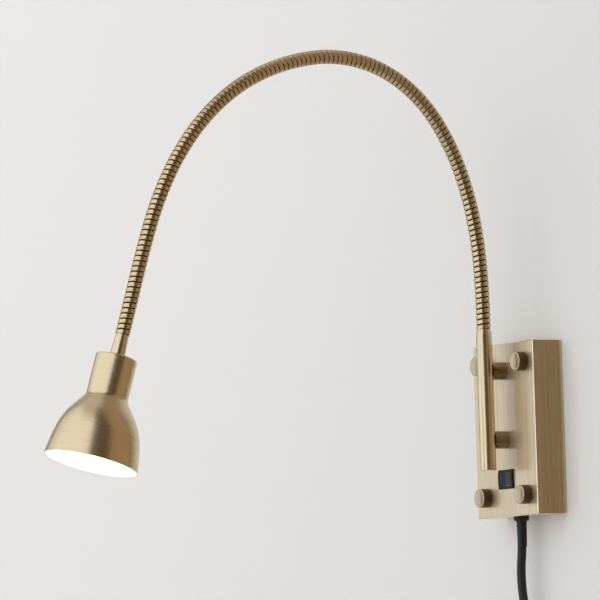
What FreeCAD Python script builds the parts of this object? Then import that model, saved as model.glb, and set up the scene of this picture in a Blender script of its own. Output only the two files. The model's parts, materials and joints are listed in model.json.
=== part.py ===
import FreeCAD, Part
import math
import os

# Bedside wall reading lamp: an open-backed wall box, a stem on two standoffs,
# a ribbed gooseneck, a spun bell shade, and a mains cord with a plug.
# The origin is the centre of the box's back edge, on the wall. +X points right
# for someone facing the wall, +Y into the wall, +Z up.

V = FreeCAD.Vector

# ---------------------------------------------------------------- driving sizes, mm and degrees

PLAY = 0.1                    # radial room of a piece that only passes through a hole
OVERCUT = 1.0                 # how far a cutting shape runs past the face that it opens
BEND_SHARE = 0.45             # share of a route's shorter run that the bend beside it takes

# Wall box cover
COVER_WIDTH = 90.0
COVER_HEIGHT = 135.0
COVER_DEPTH = 26.0
COVER_WALL = 1.2
COVER_EDGE_RADIUS = 1.0

# Bracket inside it
BRACKET_THICKNESS = 1.5
BRACKET_MARGIN = 3.8          # from the inside of the cover to the bracket's edge
WALL_HOLE_SPACING = 60.0
WALL_HOLE_RADIUS = 2.5

# Corner studs and knurled nuts
STUD_SPACING_X = 60.0
STUD_SPACING_Z = 103.0
STUD_THREAD_RADIUS = 2.5
STUD_SHOULDER_RADIUS = 4.0
NUT_RADIUS = 7.4
NUT_HEIGHT = 8.0
NUT_RIM_CHAMFER = 0.7
NUT_THREAD_DEPTH = 6.0
STUD_TIP_GAP = 0.5            # from a stud's tip to the bottom of the nut's hole
STUD_TIP_CHAMFER = 0.5

# Stem
STEM_OUT = 42.4               # from the wall to the stem's axis
STEM_RADIUS = 6.3
STEM_WALL = 1.3
STEM_BOTTOM = -28.0
STEM_LENGTH = 90.0
END_CAP_THICKNESS = 3.3
END_CAP_SPIGOT = 6.0
END_CAP_EDGE = 0.5
END_CAP_GROOVE_DROP = 1.4     # from the joint down to the turned groove
END_CAP_GROOVE_WIDTH = 0.4
END_CAP_GROOVE_DEPTH = 0.3

# Standoffs between the cover and the stem
STANDOFF_UPPER_Z = 46.0
STANDOFF_LOWER_Z = -7.6
STANDOFF_RADIUS = 7.0
SADDLE_REACH = 2.2            # how far a standoff reaches round the stem
PIPE_THREAD_RADIUS = 4.0      # hollow M8 threaded pipe, here and in the head
PIPE_BORE_RADIUS = 2.7
PIPE_TAIL = 5.0               # length of thread inside the cover
PIPE_PROUD = 0.8              # length of thread past the inside of the stem's wall
PIPE_NUT_FLATS = 13.0
PIPE_NUT_HEIGHT = 3.0

# Ferrules at the gooseneck's two ends
LOWER_FERRULE_LENGTH = 16.5
LOWER_FERRULE_TIP_LENGTH = 2.9     # the steeper taper at the gooseneck's end
LOWER_FERRULE_TIP_RADIUS = 6.0     # where that taper starts
LOWER_FERRULE_TOP_RADIUS = 5.2
LOWER_FERRULE_SPIGOT = 8.0
UPPER_FERRULE_LENGTH = 17.8
UPPER_FERRULE_NECK_RADIUS = 4.9
UPPER_FERRULE_HEAD_RADIUS = 6.0
UPPER_FERRULE_THREAD = 9.0
NECK_SPIGOT = 6.0
FERRULE_BORE_RADIUS = 2.4

# Gooseneck: fourteen lengths of ribbed tube, each a ball in the next one's socket
RIB_PITCH = 4.125
RIB_GROOVE = 0.9
RIB_FLANK = 0.2
RIBS_PER_SEGMENT = 10
RIBS_MORE_AT_ENDS = 1
NECK_TURNS = (3.1, 7.9, 10.5, 13.8, 20.8, 22.0, 20.4, 13.4, 15.2, 13.5, 11.3, 8.7, 2.7, -0.5)
NECK_CREST_RADIUS = 5.45
NECK_ROOT_RADIUS = 4.9
NECK_BORE_RADIUS = 3.0
HINGE_GROOVE = 2.0
BALL_RADIUS = 4.6
BALL_PLAY = 0.1
BALL_LENGTH = 2.2
BALL_ROOT = 0.4               # how far a ball runs up into its first rib
FLEX_RADIUS = 2.1
FLEX_BEND_RADIUS = 4.6
FLEX_HINGE_GAP = 0.35         # from a hinge to the end of each length of flex

# Shade, a spun shell: a straight cap, then a bell in arcs
SHADE_CAP_RADIUS = 16.0
SHADE_CAP_LENGTH = 30.3
SHADE_CAP_EDGE = 1.3
SHADE_WALL = 0.9
SHADE_WAIST_RADIUS = 5.0      # radius of the inward curve under the cap
SHADE_FLARE = 36.0            # the bell's steepest angle to the axis
SHADE_CONE_LENGTH = 12.0
SHADE_SHOULDER_RADIUS = 50.0
SHADE_SHOULDER_ANGLE = 14.0   # angle to the axis where the shoulder ends
SHADE_SKIRT_RADIUS = 150.0
SHADE_RIM_ANGLE = 6.0
SHADE_RIM_LENGTH = 2.4

# Lampholder and bulb
HOLDER_RADIUS = 13.0
HOLDER_LENGTH = 32.0
HOLDER_TOP = 9.0              # solid part at the threaded end
HOLDER_THREAD = 6.0
HOLDER_BORE_RADIUS = 8.5
HOLDER_EDGE = 1.5
SHELL_WALL = 0.5
SHELL_START = 2.0             # from the bore's floor to the screw shell
SHELL_LENGTH = 19.0
CONTACT_RADIUS = 3.0
CONTACT_THICKNESS = 1.2
BULB_LENGTH = 62.0
BULB_TIP_RADIUS = 2.4
BULB_TIP_LENGTH = 1.5
BULB_BASE_LENGTH = 22.0
BULB_BASE_CHAMFER = 1.5
BULB_RADIUS = 19.5
BULB_NECK_RADIUS = 7.6
BULB_NECK_LENGTH = 5.0
BULB_CONE_LENGTH = 20.0
BULB_CONE_BULGE = 1.6
BULB_FACE_DEPTH = 4.0
BULB_WALL = 0.8

# Rocker switch
SWITCH_Z = -38.3
BEZEL_WIDTH = 21.0
BEZEL_HEIGHT = 15.0
BEZEL_THICKNESS = 1.8
BEZEL_CHAMFER = 0.6
BEZEL_FRAME = 2.3             # width of the frame round the rocker's window
SWITCH_LIP = 0.8              # how far the bezel overlaps the cut-out
SWITCH_BODY_DEPTH = 12.0
SWITCH_FLOOR = 2.0
ROCKER_TILT = 9.0
ROCKER_PIVOT_DEPTH = 1.5      # from the cover's face in to the pivot
ROCKER_PROUD = 1.8            # from the cover's face out to the rocker's middle
ROCKER_END_GAP = 0.7          # from the window to the ends that swing
ROCKER_SIDE_GAP = 0.3
ROCKER_KEEL = 3.0             # from the pivot in to the rocker's back
ROCKER_KEEL_HALF = 3.4        # half the width of the rocker's back
ROCKER_PIN_RADIUS = 1.2
ROCKER_PIN_LENGTH = 1.2
ROCKER_PIN_PLAY = 0.05
TAB_WIDTH = 4.8
TAB_THICKNESS = 0.8
TAB_LENGTH = 7.0
TAB_SPACING = 10.0

# Terminal block and earth terminal on the bracket
BLOCK_X = 20.0
BLOCK_Z = 18.0
BLOCK_WIDTH = 30.0
BLOCK_DEPTH = 12.0
BLOCK_HEIGHT = 16.0
BLOCK_POLES = 3
BLOCK_SCREW_RADIUS = 1.6
BLOCK_SCREW_DEPTH = 4.0
BLOCK_SCREW_SUNK = 0.5
EARTH_MARGIN = 14.0           # from the bracket's side edge to the earth screw
EARTH_Z = -24.0
EARTH_TAG_RADIUS = 4.5
EARTH_TAG_THICKNESS = 0.8
EARTH_SCREW_RADIUS = 2.0
EARTH_SCREW_HEAD_RADIUS = 3.6
EARTH_SCREW_HEAD_HEIGHT = 2.4
WIRE_RADIUS = 1.0
WIRE_CLEARANCE = 0.8          # in front of the earth screw, where a core crosses it

# Mains cord, its gland, coil, tie and plug
CORD_RADIUS = 3.5
GLAND_OUT = 14.0              # from the wall to the cord's axis
GLAND_FLANGE_RADIUS = 6.1
GLAND_FLANGE_HEIGHT = 3.4
GLAND_FLANGE_EDGE = 1.0
GLAND_NECK_RADIUS = 5.0
GLAND_COLLAR_RADIUS = 5.8
GLAND_COLLAR_HEIGHT = 8.0
GLAND_TOP_RADIUS = 4.0
GLAND_SLEEVE_LENGTH = 20.0    # the tapered strain relief round the cord
GLAND_SLEEVE_START_RADIUS = 4.1
GLAND_SLEEVE_END_RADIUS = 3.8
GLAND_CORD_PLAY = 0.05
COIL_CENTRE_X = -5.3
COIL_CENTRE_Z = -227.4
COIL_FIRST_OUT = 6.0          # from the wall to the first layer
COIL_MEAN_RADIUS = 36.4
COIL_LAYERS = 4
COIL_TURNS = 7
COIL_START_ANGLE = 30.0       # where the cord meets the coil, from +X towards +Z
COIL_TURN_STEP = 7.5
COIL_LAYER_STEP = 7.6
COIL_LEAD = 7.0
COIL_TAIL = 50.0
COIL_SLOPE_STEP = 0.002       # turns each way that give the coil's direction
COIL_SAMPLE_STEP = 3.0        # between the points that measure its gaps
TIE_ANGLE = 125.0
TIE_WIDTH = 8.0
TIE_THICKNESS = 1.2
TIE_CORNER_RADIUS = 2.4
TIE_ROOM = 0.5
PLUG_SLEEVE_START_RADIUS = 4.6
PLUG_SLEEVE_END_RADIUS = 6.5
PLUG_SLEEVE_LENGTH = 24.0
PLUG_SHOULDER_LENGTH = 9.0
PLUG_RADIUS = 18.5
PLUG_BODY_LENGTH = 19.0
PLUG_EDGE = 1.5
PLUG_PIN_RADIUS = 2.4
PLUG_PIN_LENGTH = 19.0
PLUG_PIN_SPACING = 19.0
PLUG_PIN_ROOT = 6.0
EARTH_CLIP_WIDTH = 5.0
EARTH_CLIP_THICKNESS = 1.0
EARTH_CLIP_LENGTH = 12.0

# ---------------------------------------------------------------- sizes worked out from them

COVER_FRONT_INSIDE = COVER_DEPTH - COVER_WALL
COVER_BOTTOM = -COVER_HEIGHT / 2.0
BRACKET_HALF_WIDTH = COVER_WIDTH / 2.0 - COVER_WALL - BRACKET_MARGIN
BRACKET_HALF_HEIGHT = COVER_HEIGHT / 2.0 - COVER_WALL - BRACKET_MARGIN
EARTH_X = BRACKET_HALF_WIDTH - EARTH_MARGIN
STEM_TOP = STEM_BOTTOM + STEM_LENGTH
STEM_BORE = STEM_RADIUS - STEM_WALL
NECK_START = STEM_TOP + LOWER_FERRULE_LENGTH
BALL_SEAT_RADIUS = BALL_RADIUS + BALL_PLAY
END_STRAIGHT = 2.0 * NECK_CREST_RADIUS
LAST_SEGMENT = len(NECK_TURNS) - 1
CORD_EXIT_Z = COVER_BOTTOM - GLAND_FLANGE_HEIGHT
COIL_TOTAL_TURNS = COIL_TURNS + COIL_START_ANGLE / 360.0
COIL_LAYER_TURNS = COIL_TOTAL_TURNS / COIL_LAYERS


# ---------------------------------------------------------------- helpers

def block(x0, x1, y0, y1, z0, z1):
    """A box between two corners."""
    return Part.makeBox(x1 - x0, y1 - y0, z1 - z0, V(x0, y0, z0))


def post(radius, low, high, x=0.0, y=0.0):
    """A cylinder along Z."""
    return Part.makeCylinder(radius, high - low, V(x, y, low))


def placed(shape, x, y, z, tilt):
    """Stand a shape built along Z at a point, tilted about X: 90 points it away from the wall."""
    result = shape.copy()
    move = FreeCAD.Placement(V(x, y, z), FreeCAD.Rotation(V(1, 0, 0), tilt))
    result.Placement = move.multiply(shape.Placement)
    return result


def lathe(outline):
    """Turn a closed outline of (radius, height) about Z; four numbers are an arc's middle and end."""
    edges = []
    here = outline[0]
    for step in outline[1:] + outline[:1]:
        start = V(here[-2], 0, here[-1])
        end = V(step[-2], 0, step[-1])
        if len(step) == 4:
            edges.append(Part.Arc(start, V(step[0], 0, step[1]), end).toShape())
        else:
            edges.append(Part.LineSegment(start, end).toShape())
        here = step
    return Part.Face(Part.Wire(edges)).revolve(V(0, 0, 0), V(0, 0, 1), 360)


def quarter(radius, height, size, inward, upward):
    """The middle of a quarter-round that ends a corner at (radius, height)."""
    part = size * (1.0 - math.sqrt(0.5))
    return (radius + inward * part, height + upward * part)


def dome(radius, top, rise):
    """The middle of an arc, centred on the axis, between a dome's top and its edge."""
    sphere = (radius ** 2 + rise ** 2) / (2.0 * rise)
    half_angle = math.asin(radius / sphere) / 2.0
    return (sphere * math.sin(half_angle), top - sphere * (1.0 - math.cos(half_angle)))


def sweep(edges, radius):
    """A round bar of one radius along a path of edges that starts with a straight one or an arc."""
    first = edges[0]
    start = first.valueAt(first.FirstParameter)
    ring = Part.Circle(start, first.tangentAt(first.FirstParameter), radius).toShape()
    return Part.Wire(edges).makePipeShell([Part.Wire([ring])], True, False)


def bent_path(points, most):
    """Straight runs joined by tangent arcs, as large as the shorter run allows, or the most radius."""
    edges = []
    radii = []
    here = points[0]
    for index in range(1, len(points) - 1):
        corner = points[index]
        back = points[index - 1] - corner
        ahead = points[index + 1] - corner
        half_turn = (math.pi - back.getAngle(ahead)) / 2.0
        setback = min(BEND_SHARE * min(back.Length, ahead.Length), most * math.tan(half_turn))
        radii.append(setback / math.tan(half_turn))
        back.normalize()
        ahead.normalize()
        start = corner + back * setback
        end = corner + ahead * setback
        inward = back + ahead
        inward.normalize()
        reach = radii[-1] / math.cos(half_turn) - radii[-1]
        edges.append(Part.LineSegment(here, start).toShape())
        edges.append(Part.Arc(start, corner + inward * reach, end).toShape())
        here = end
    edges.append(Part.LineSegment(here, points[-1]).toShape())
    return edges, radii


def bent_tube(name, points, radius, most=math.inf):
    """A round bar along a bent path, with its radii and volume printed."""
    edges, radii = bent_path(points, most)
    solid = sweep(edges, radius)
    length = sum(edge.Length for edge in edges)
    share = solid.Volume / (math.pi * radius ** 2 * length)
    print("%s: length %.1f, volume share %.4f, radii %s"
          % (name, length, share, " ".join("%.1f" % r for r in radii)))
    return solid


def corners(spacing_x, spacing_z):
    """The four corners of a rectangle about the origin."""
    return [(x, z) for x in (-spacing_x / 2, spacing_x / 2) for z in (-spacing_z / 2, spacing_z / 2)]


# ---------------------------------------------------------------- wall box

def stud_holes():
    """Cutters for the four corner studs."""
    return [placed(post(STUD_THREAD_RADIUS + PLAY, -OVERCUT, COVER_DEPTH + OVERCUT), x, 0, z, 90)
            for x, z in corners(STUD_SPACING_X, STUD_SPACING_Z)]


def switch_cutout(margin, out0, out1):
    """The switch body's outline in the cover, grown by a margin, between two distances out."""
    half_x = BEZEL_WIDTH / 2.0 - SWITCH_LIP + margin
    half_z = BEZEL_HEIGHT / 2.0 - SWITCH_LIP + margin
    return block(-half_x, half_x, -out1, -out0, SWITCH_Z - half_z, SWITCH_Z + half_z)


def plate_cover():
    half_x = COVER_WIDTH / 2.0
    half_z = COVER_HEIGHT / 2.0
    outer = block(-half_x, half_x, -COVER_DEPTH, 0, -half_z, half_z)
    edges = [e for e in outer.Edges if e.BoundBox.YMin < -COVER_DEPTH / 4.0]
    outer = outer.makeFillet(COVER_EDGE_RADIUS, edges)
    inner = block(-half_x + COVER_WALL, half_x - COVER_WALL, -COVER_FRONT_INSIDE, OVERCUT,
                  -half_z + COVER_WALL, half_z - COVER_WALL)
    cutters = stud_holes()
    cutters.append(switch_cutout(PLAY, COVER_FRONT_INSIDE - OVERCUT, COVER_DEPTH + OVERCUT))
    for z in (STANDOFF_UPPER_Z, STANDOFF_LOWER_Z):
        cutters.append(placed(post(PIPE_THREAD_RADIUS + PLAY, 0, COVER_DEPTH + OVERCUT), 0, 0, z, 90))
    cutters.append(post(GLAND_NECK_RADIUS, COVER_BOTTOM - OVERCUT, COVER_BOTTOM + COVER_WALL + OVERCUT,
                        0, -GLAND_OUT))
    return outer.cut(inner).cut(cutters)


def bracket_hole(radius, x, z):
    return placed(post(radius, -OVERCUT, BRACKET_THICKNESS + OVERCUT), x, 0, z, 90)


def mounting_bracket():
    plate = block(-BRACKET_HALF_WIDTH, BRACKET_HALF_WIDTH, -BRACKET_THICKNESS, 0,
                  -BRACKET_HALF_HEIGHT, BRACKET_HALF_HEIGHT)
    holes = [bracket_hole(STUD_THREAD_RADIUS, x, z) for x, z in corners(STUD_SPACING_X, STUD_SPACING_Z)]
    holes += [bracket_hole(WALL_HOLE_RADIUS, 0, z) for z in (-WALL_HOLE_SPACING / 2, WALL_HOLE_SPACING / 2)]
    holes.append(bracket_hole(EARTH_SCREW_RADIUS, EARTH_X, EARTH_Z))
    return plate.cut(holes)


def bracket_studs():
    """Shouldered studs, riveted in the bracket, that space the cover and take the nuts."""
    tip = COVER_DEPTH + NUT_THREAD_DEPTH - STUD_TIP_GAP
    stud = lathe([(0, 0), (STUD_THREAD_RADIUS, 0), (STUD_THREAD_RADIUS, BRACKET_THICKNESS),
                  (STUD_SHOULDER_RADIUS, BRACKET_THICKNESS), (STUD_SHOULDER_RADIUS, COVER_FRONT_INSIDE),
                  (STUD_THREAD_RADIUS, COVER_FRONT_INSIDE), (STUD_THREAD_RADIUS, tip - STUD_TIP_CHAMFER),
                  (STUD_THREAD_RADIUS - STUD_TIP_CHAMFER, tip), (0, tip)])
    return [placed(stud, x, 0, z, 90) for x, z in corners(STUD_SPACING_X, STUD_SPACING_Z)]


def knurled_nuts():
    top = COVER_DEPTH + NUT_HEIGHT
    nut = lathe([(0, COVER_DEPTH + NUT_THREAD_DEPTH), (STUD_THREAD_RADIUS, COVER_DEPTH + NUT_THREAD_DEPTH),
                 (STUD_THREAD_RADIUS, COVER_DEPTH), (NUT_RADIUS, COVER_DEPTH),
                 (NUT_RADIUS, top - NUT_RIM_CHAMFER), (NUT_RADIUS - NUT_RIM_CHAMFER, top), (0, top)])
    return [placed(nut, x, 0, z, 90) for x, z in corners(STUD_SPACING_X, STUD_SPACING_Z)]


# ---------------------------------------------------------------- stem and standoffs

def stem_barrel(radius):
    """The stem's own cylinder, to shape what sits against it."""
    return post(radius, STEM_BOTTOM, STEM_TOP, 0, -STEM_OUT)


def pipe_reach():
    """How far out from the wall the threaded pipes end, inside the stem."""
    return STEM_OUT - STEM_BORE + PIPE_PROUD


def stem_tube():
    cutters = [stem_barrel(STEM_BORE)]
    for z in (STANDOFF_UPPER_Z, STANDOFF_LOWER_Z):
        cutters.append(placed(post(PIPE_THREAD_RADIUS, COVER_DEPTH, STEM_OUT), 0, 0, z, 90))
    return stem_barrel(STEM_RADIUS).cut(cutters)


def stem_end_cap():
    """A turned plug with a rounded edge and a groove round its side."""
    bottom = STEM_BOTTOM - END_CAP_THICKNESS
    groove_top = STEM_BOTTOM - END_CAP_GROOVE_DROP
    groove_bottom = groove_top - END_CAP_GROOVE_WIDTH
    groove_radius = STEM_RADIUS - END_CAP_GROOVE_DEPTH
    cap = lathe([(0, bottom), (STEM_RADIUS - END_CAP_EDGE, bottom),
                 quarter(STEM_RADIUS, bottom, END_CAP_EDGE, -1, 1)
                 + (STEM_RADIUS, bottom + END_CAP_EDGE), (STEM_RADIUS, groove_bottom),
                 (groove_radius, groove_bottom), (groove_radius, groove_top), (STEM_RADIUS, groove_top),
                 (STEM_RADIUS, STEM_BOTTOM), (STEM_BORE, STEM_BOTTOM),
                 (STEM_BORE, STEM_BOTTOM + END_CAP_SPIGOT), (0, STEM_BOTTOM + END_CAP_SPIGOT)])
    return placed(cap, 0, -STEM_OUT, 0, 0)


def standoffs():
    """Two sleeves between the cover and the stem, each end shaped to the stem's side."""
    end = STEM_OUT - STEM_RADIUS + SADDLE_REACH
    sleeve = post(STANDOFF_RADIUS, COVER_DEPTH, end).cut(
        post(PIPE_THREAD_RADIUS + PLAY, COVER_DEPTH - OVERCUT, end + OVERCUT))
    return [placed(sleeve, 0, 0, z, 90).cut(stem_barrel(STEM_RADIUS))
            for z in (STANDOFF_UPPER_Z, STANDOFF_LOWER_Z)]


def standoff_pipes():
    """Hollow threaded pipes that clamp the stem to the cover; the lower one carries the flex."""
    start = COVER_FRONT_INSIDE - PIPE_TAIL
    pipe = post(PIPE_THREAD_RADIUS, start, pipe_reach()).cut(
        post(PIPE_BORE_RADIUS, start - OVERCUT, pipe_reach() + OVERCUT))
    return [placed(pipe, 0, 0, z, 90) for z in (STANDOFF_UPPER_Z, STANDOFF_LOWER_Z)]


def pipe_nuts():
    across_corners = PIPE_NUT_FLATS / math.cos(math.radians(30))
    ring = [V(across_corners / 2 * math.cos(math.radians(60 * k)),
              across_corners / 2 * math.sin(math.radians(60 * k)), 0) for k in range(7)]
    hexagon = Part.Face(Part.makePolygon(ring)).extrude(V(0, 0, PIPE_NUT_HEIGHT))
    nut = hexagon.cut(post(PIPE_THREAD_RADIUS, -OVERCUT, PIPE_NUT_HEIGHT + OVERCUT))
    return [placed(nut, 0, -(COVER_FRONT_INSIDE - PIPE_NUT_HEIGHT), z, 90)
            for z in (STANDOFF_UPPER_Z, STANDOFF_LOWER_Z)]


# ---------------------------------------------------------------- gooseneck

def segment_length(index):
    ribs = RIBS_PER_SEGMENT
    if index in (0, LAST_SEGMENT):
        ribs += RIBS_MORE_AT_ENDS
    return ribs * RIB_PITCH


def neck_runs():
    """The centreline as (length, turn): fourteen arcs, with a straight run at each end."""
    runs = [(segment_length(index), turn) for index, turn in enumerate(NECK_TURNS)]
    runs[0] = (runs[0][0] - END_STRAIGHT, runs[0][1])
    runs[-1] = (runs[-1][0] - END_STRAIGHT, runs[-1][1])
    return [(END_STRAIGHT, 0.0)] + runs + [(END_STRAIGHT, 0.0)]


NECK_RUNS = neck_runs()
NECK_LENGTH = sum(run[0] for run in NECK_RUNS)


def neck_frame(station):
    """The centreline's point and its angle from straight up towards the room, in degrees."""
    y = -STEM_OUT
    z = NECK_START
    angle = 0.0
    left = station
    for number, (length, turn) in enumerate(NECK_RUNS):
        last = number == len(NECK_RUNS) - 1
        step = left if last else min(left, length)
        heading = math.radians(angle)
        if turn == 0.0:
            y -= step * math.sin(heading)
            z += step * math.cos(heading)
        else:
            radius = length / math.radians(turn)
            after = heading + step / radius
            y += radius * (math.cos(after) - math.cos(heading))
            z += radius * (math.sin(after) - math.sin(heading))
            angle += turn * step / length
        left -= step
        if left <= 0.0:
            break
    return V(0, y, z), angle


def neck_hinge(index):
    """The station where a segment begins."""
    return sum(segment_length(k) for k in range(index))


def neck_path(start, end, lead=0.0):
    """Edges along the centreline between two stations, with a straight lead past each end."""
    breaks = [0.0]
    for length, _turn in NECK_RUNS:
        breaks.append(breaks[-1] + length)
    stations = [start] + [b for b in breaks if start + 1e-6 < b < end - 1e-6] + [end]
    first, first_angle = neck_frame(start)
    last, last_angle = neck_frame(end)
    edges = []
    if lead:
        edges.append(Part.LineSegment(first - heading_vector(first_angle) * lead, first).toShape())
    for a, b in zip(stations, stations[1:]):
        p, p_angle = neck_frame(a)
        q, q_angle = neck_frame(b)
        if abs(p_angle - q_angle) < 1e-6:
            edges.append(Part.LineSegment(p, q).toShape())
        else:
            edges.append(Part.Arc(p, neck_frame((a + b) / 2.0)[0], q).toShape())
    if lead:
        edges.append(Part.LineSegment(last, last + heading_vector(last_angle) * lead).toShape())
    return edges


def heading_vector(angle):
    return V(0, -math.sin(math.radians(angle)), math.cos(math.radians(angle)))


def neck_core(start, end, radius, lead=0.0):
    """A round bar along the centreline."""
    return sweep(neck_path(start, end, lead), radius)


def rib_ring(station, radius):
    """One circle square to the centreline, its X axis steady."""
    point, angle = neck_frame(station)
    ring = Part.Circle(V(0, 0, 0), V(0, 0, 1), radius).toShape()
    return Part.Wire([placed(ring, point.x, point.y, point.z, angle)])


def rib_rings(index):
    """Four circles for each rib of a segment."""
    start = neck_hinge(index)
    count = round(segment_length(index) / RIB_PITCH)
    rings = []
    for rib in range(count):
        low = start + rib * RIB_PITCH + RIB_GROOVE / 2.0
        high = start + (rib + 1) * RIB_PITCH - RIB_GROOVE / 2.0
        if rib == 0:
            low = start + (HINGE_GROOVE / 2.0 if index else 0.0)
        if rib == count - 1:
            high = start + count * RIB_PITCH - (HINGE_GROOVE / 2.0 if index < LAST_SEGMENT else 0.0)
        rings += [rib_ring(low, NECK_ROOT_RADIUS), rib_ring(low + RIB_FLANK, NECK_CREST_RADIUS),
                  rib_ring(high - RIB_FLANK, NECK_CREST_RADIUS), rib_ring(high, NECK_ROOT_RADIUS)]
    return rings


def neck_ball():
    """The ball end below a segment's first rib, centred on its hinge."""
    tip = math.sqrt(BALL_RADIUS ** 2 - BALL_LENGTH ** 2)
    top = HINGE_GROOVE / 2.0 + BALL_ROOT
    neck = math.sqrt(BALL_RADIUS ** 2 - top ** 2)
    return lathe([(0, -BALL_LENGTH), (tip, -BALL_LENGTH), (BALL_RADIUS, 0, neck, top), (0, top)])


def neck_segment(index):
    body = Part.makeLoft(rib_rings(index), True, True)
    start = neck_hinge(index)
    end = start + segment_length(index)
    cutters = [neck_core(start, end, NECK_BORE_RADIUS, HINGE_GROOVE + BALL_LENGTH)]
    if index > 0:
        point, angle = neck_frame(start)
        body = body.fuse(placed(neck_ball(), point.x, point.y, point.z, angle))
    if index < LAST_SEGMENT:
        point, angle = neck_frame(end)
        cutters.append(placed(Part.makeSphere(BALL_SEAT_RADIUS), point.x, point.y, point.z, angle))
    return body.cut(cutters)


def neck_flex(index):
    start = neck_hinge(index)
    end = start + segment_length(index)
    if index > 0:
        start += FLEX_HINGE_GAP
    if index < LAST_SEGMENT:
        end -= FLEX_HINGE_GAP
    return neck_core(start, end, FLEX_RADIUS)


def neck_ferrule_lower():
    top = LOWER_FERRULE_LENGTH
    ferrule = lathe([(FERRULE_BORE_RADIUS, -LOWER_FERRULE_SPIGOT), (STEM_BORE, -LOWER_FERRULE_SPIGOT),
                     (STEM_BORE, 0), (STEM_RADIUS, 0),
                     (LOWER_FERRULE_TIP_RADIUS, top - LOWER_FERRULE_TIP_LENGTH),
                     (LOWER_FERRULE_TOP_RADIUS, top),
                     (NECK_BORE_RADIUS, top), (NECK_BORE_RADIUS, top + NECK_SPIGOT),
                     (FERRULE_BORE_RADIUS, top + NECK_SPIGOT)])
    return placed(ferrule, 0, -STEM_OUT, STEM_TOP, 0)


# ---------------------------------------------------------------- head, built down from the neck's end

HEAD_POINT, HEAD_TILT = neck_frame(NECK_LENGTH)
CAP_TOP = UPPER_FERRULE_LENGTH
HOLDER_START = CAP_TOP + SHADE_WALL
HOLDER_FLOOR = HOLDER_START + HOLDER_TOP
HOLDER_END = HOLDER_START + HOLDER_LENGTH
BULB_START = HOLDER_FLOOR + CONTACT_THICKNESS
SHELL_BORE = HOLDER_BORE_RADIUS - SHELL_WALL


def on_head(shape):
    return placed(shape, HEAD_POINT.x, HEAD_POINT.y, HEAD_POINT.z, HEAD_TILT)


def neck_ferrule_upper():
    end = UPPER_FERRULE_LENGTH
    thread = end - UPPER_FERRULE_THREAD
    return on_head(lathe([(FERRULE_BORE_RADIUS, -NECK_SPIGOT), (NECK_BORE_RADIUS, -NECK_SPIGOT),
                          (NECK_BORE_RADIUS, 0), (UPPER_FERRULE_NECK_RADIUS, 0),
                          (UPPER_FERRULE_HEAD_RADIUS, end), (PIPE_THREAD_RADIUS, end),
                          (PIPE_THREAD_RADIUS, thread), (FERRULE_BORE_RADIUS, thread)]))


def head_pipe():
    """The hollow threaded pipe that clamps the shade between the ferrule and the lampholder."""
    start = UPPER_FERRULE_LENGTH - UPPER_FERRULE_THREAD
    end = HOLDER_START + HOLDER_THREAD
    return on_head(post(PIPE_THREAD_RADIUS, start, end).cut(
        post(PIPE_BORE_RADIUS, start - OVERCUT, end + OVERCUT)))


def shade_side(offset):
    """The bell's side from the cap to the rim as (radius, height) steps, moved in by an offset."""
    steps = []
    radius = SHADE_CAP_RADIUS - offset
    height = CAP_TOP + SHADE_CAP_LENGTH
    steps.append((radius, height))
    flare = math.radians(SHADE_FLARE)
    angle = 0.0
    for bend, target in ((-SHADE_WAIST_RADIUS - offset, flare), (None, SHADE_CONE_LENGTH),
                         (SHADE_SHOULDER_RADIUS - offset, math.radians(SHADE_SHOULDER_ANGLE)),
                         (SHADE_SKIRT_RADIUS - offset, math.radians(SHADE_RIM_ANGLE)),
                         (None, SHADE_RIM_LENGTH)):
        if bend is None:
            radius += target * math.sin(angle)
            height += target * math.cos(angle)
            steps.append((radius, height))
            continue
        middle = (angle + target) / 2.0
        mid_radius = radius + bend * (math.cos(middle) - math.cos(angle))
        mid_height = height + bend * (math.sin(angle) - math.sin(middle))
        radius += bend * (math.cos(target) - math.cos(angle))
        height += bend * (math.sin(angle) - math.sin(target))
        angle = target
        steps.append((mid_radius, mid_height, radius, height))
    return steps


def reversed_steps(steps):
    """The same steps walked backwards, without the first point of the walk."""
    result = []
    for before, step in zip(reversed(steps[:-1]), reversed(steps[1:])):
        end = before[-2:]
        result.append(step[:2] + end if len(step) == 4 else end)
    return result


def shade():
    outer = shade_side(0.0)
    inner = shade_side(SHADE_WALL)
    edge = SHADE_CAP_EDGE
    inner_edge = edge - SHADE_WALL
    inside = SHADE_CAP_RADIUS - SHADE_WALL
    roof = CAP_TOP + SHADE_WALL
    hole = PIPE_THREAD_RADIUS + PLAY
    outline = [(hole, CAP_TOP), (SHADE_CAP_RADIUS - edge, CAP_TOP),
               quarter(SHADE_CAP_RADIUS, CAP_TOP, edge, -1, 1) + (SHADE_CAP_RADIUS, CAP_TOP + edge)]
    outline += outer
    outline += [inner[-1][-2:]] + reversed_steps(inner)
    outline += [(inside, roof + inner_edge),
                quarter(inside, roof, inner_edge, -1, 1) + (inside - inner_edge, roof), (hole, roof)]
    return on_head(lathe(outline))


def lampholder_body():
    edge = HOLDER_EDGE
    return on_head(lathe([(FLEX_RADIUS, HOLDER_START + HOLDER_THREAD),
                          (PIPE_THREAD_RADIUS, HOLDER_START + HOLDER_THREAD),
                          (PIPE_THREAD_RADIUS, HOLDER_START), (HOLDER_RADIUS - edge, HOLDER_START),
                          quarter(HOLDER_RADIUS, HOLDER_START, edge, -1, 1)
                          + (HOLDER_RADIUS, HOLDER_START + edge), (HOLDER_RADIUS, HOLDER_END),
                          (HOLDER_BORE_RADIUS, HOLDER_END), (HOLDER_BORE_RADIUS, HOLDER_FLOOR),
                          (FLEX_RADIUS, HOLDER_FLOOR)]))


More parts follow.
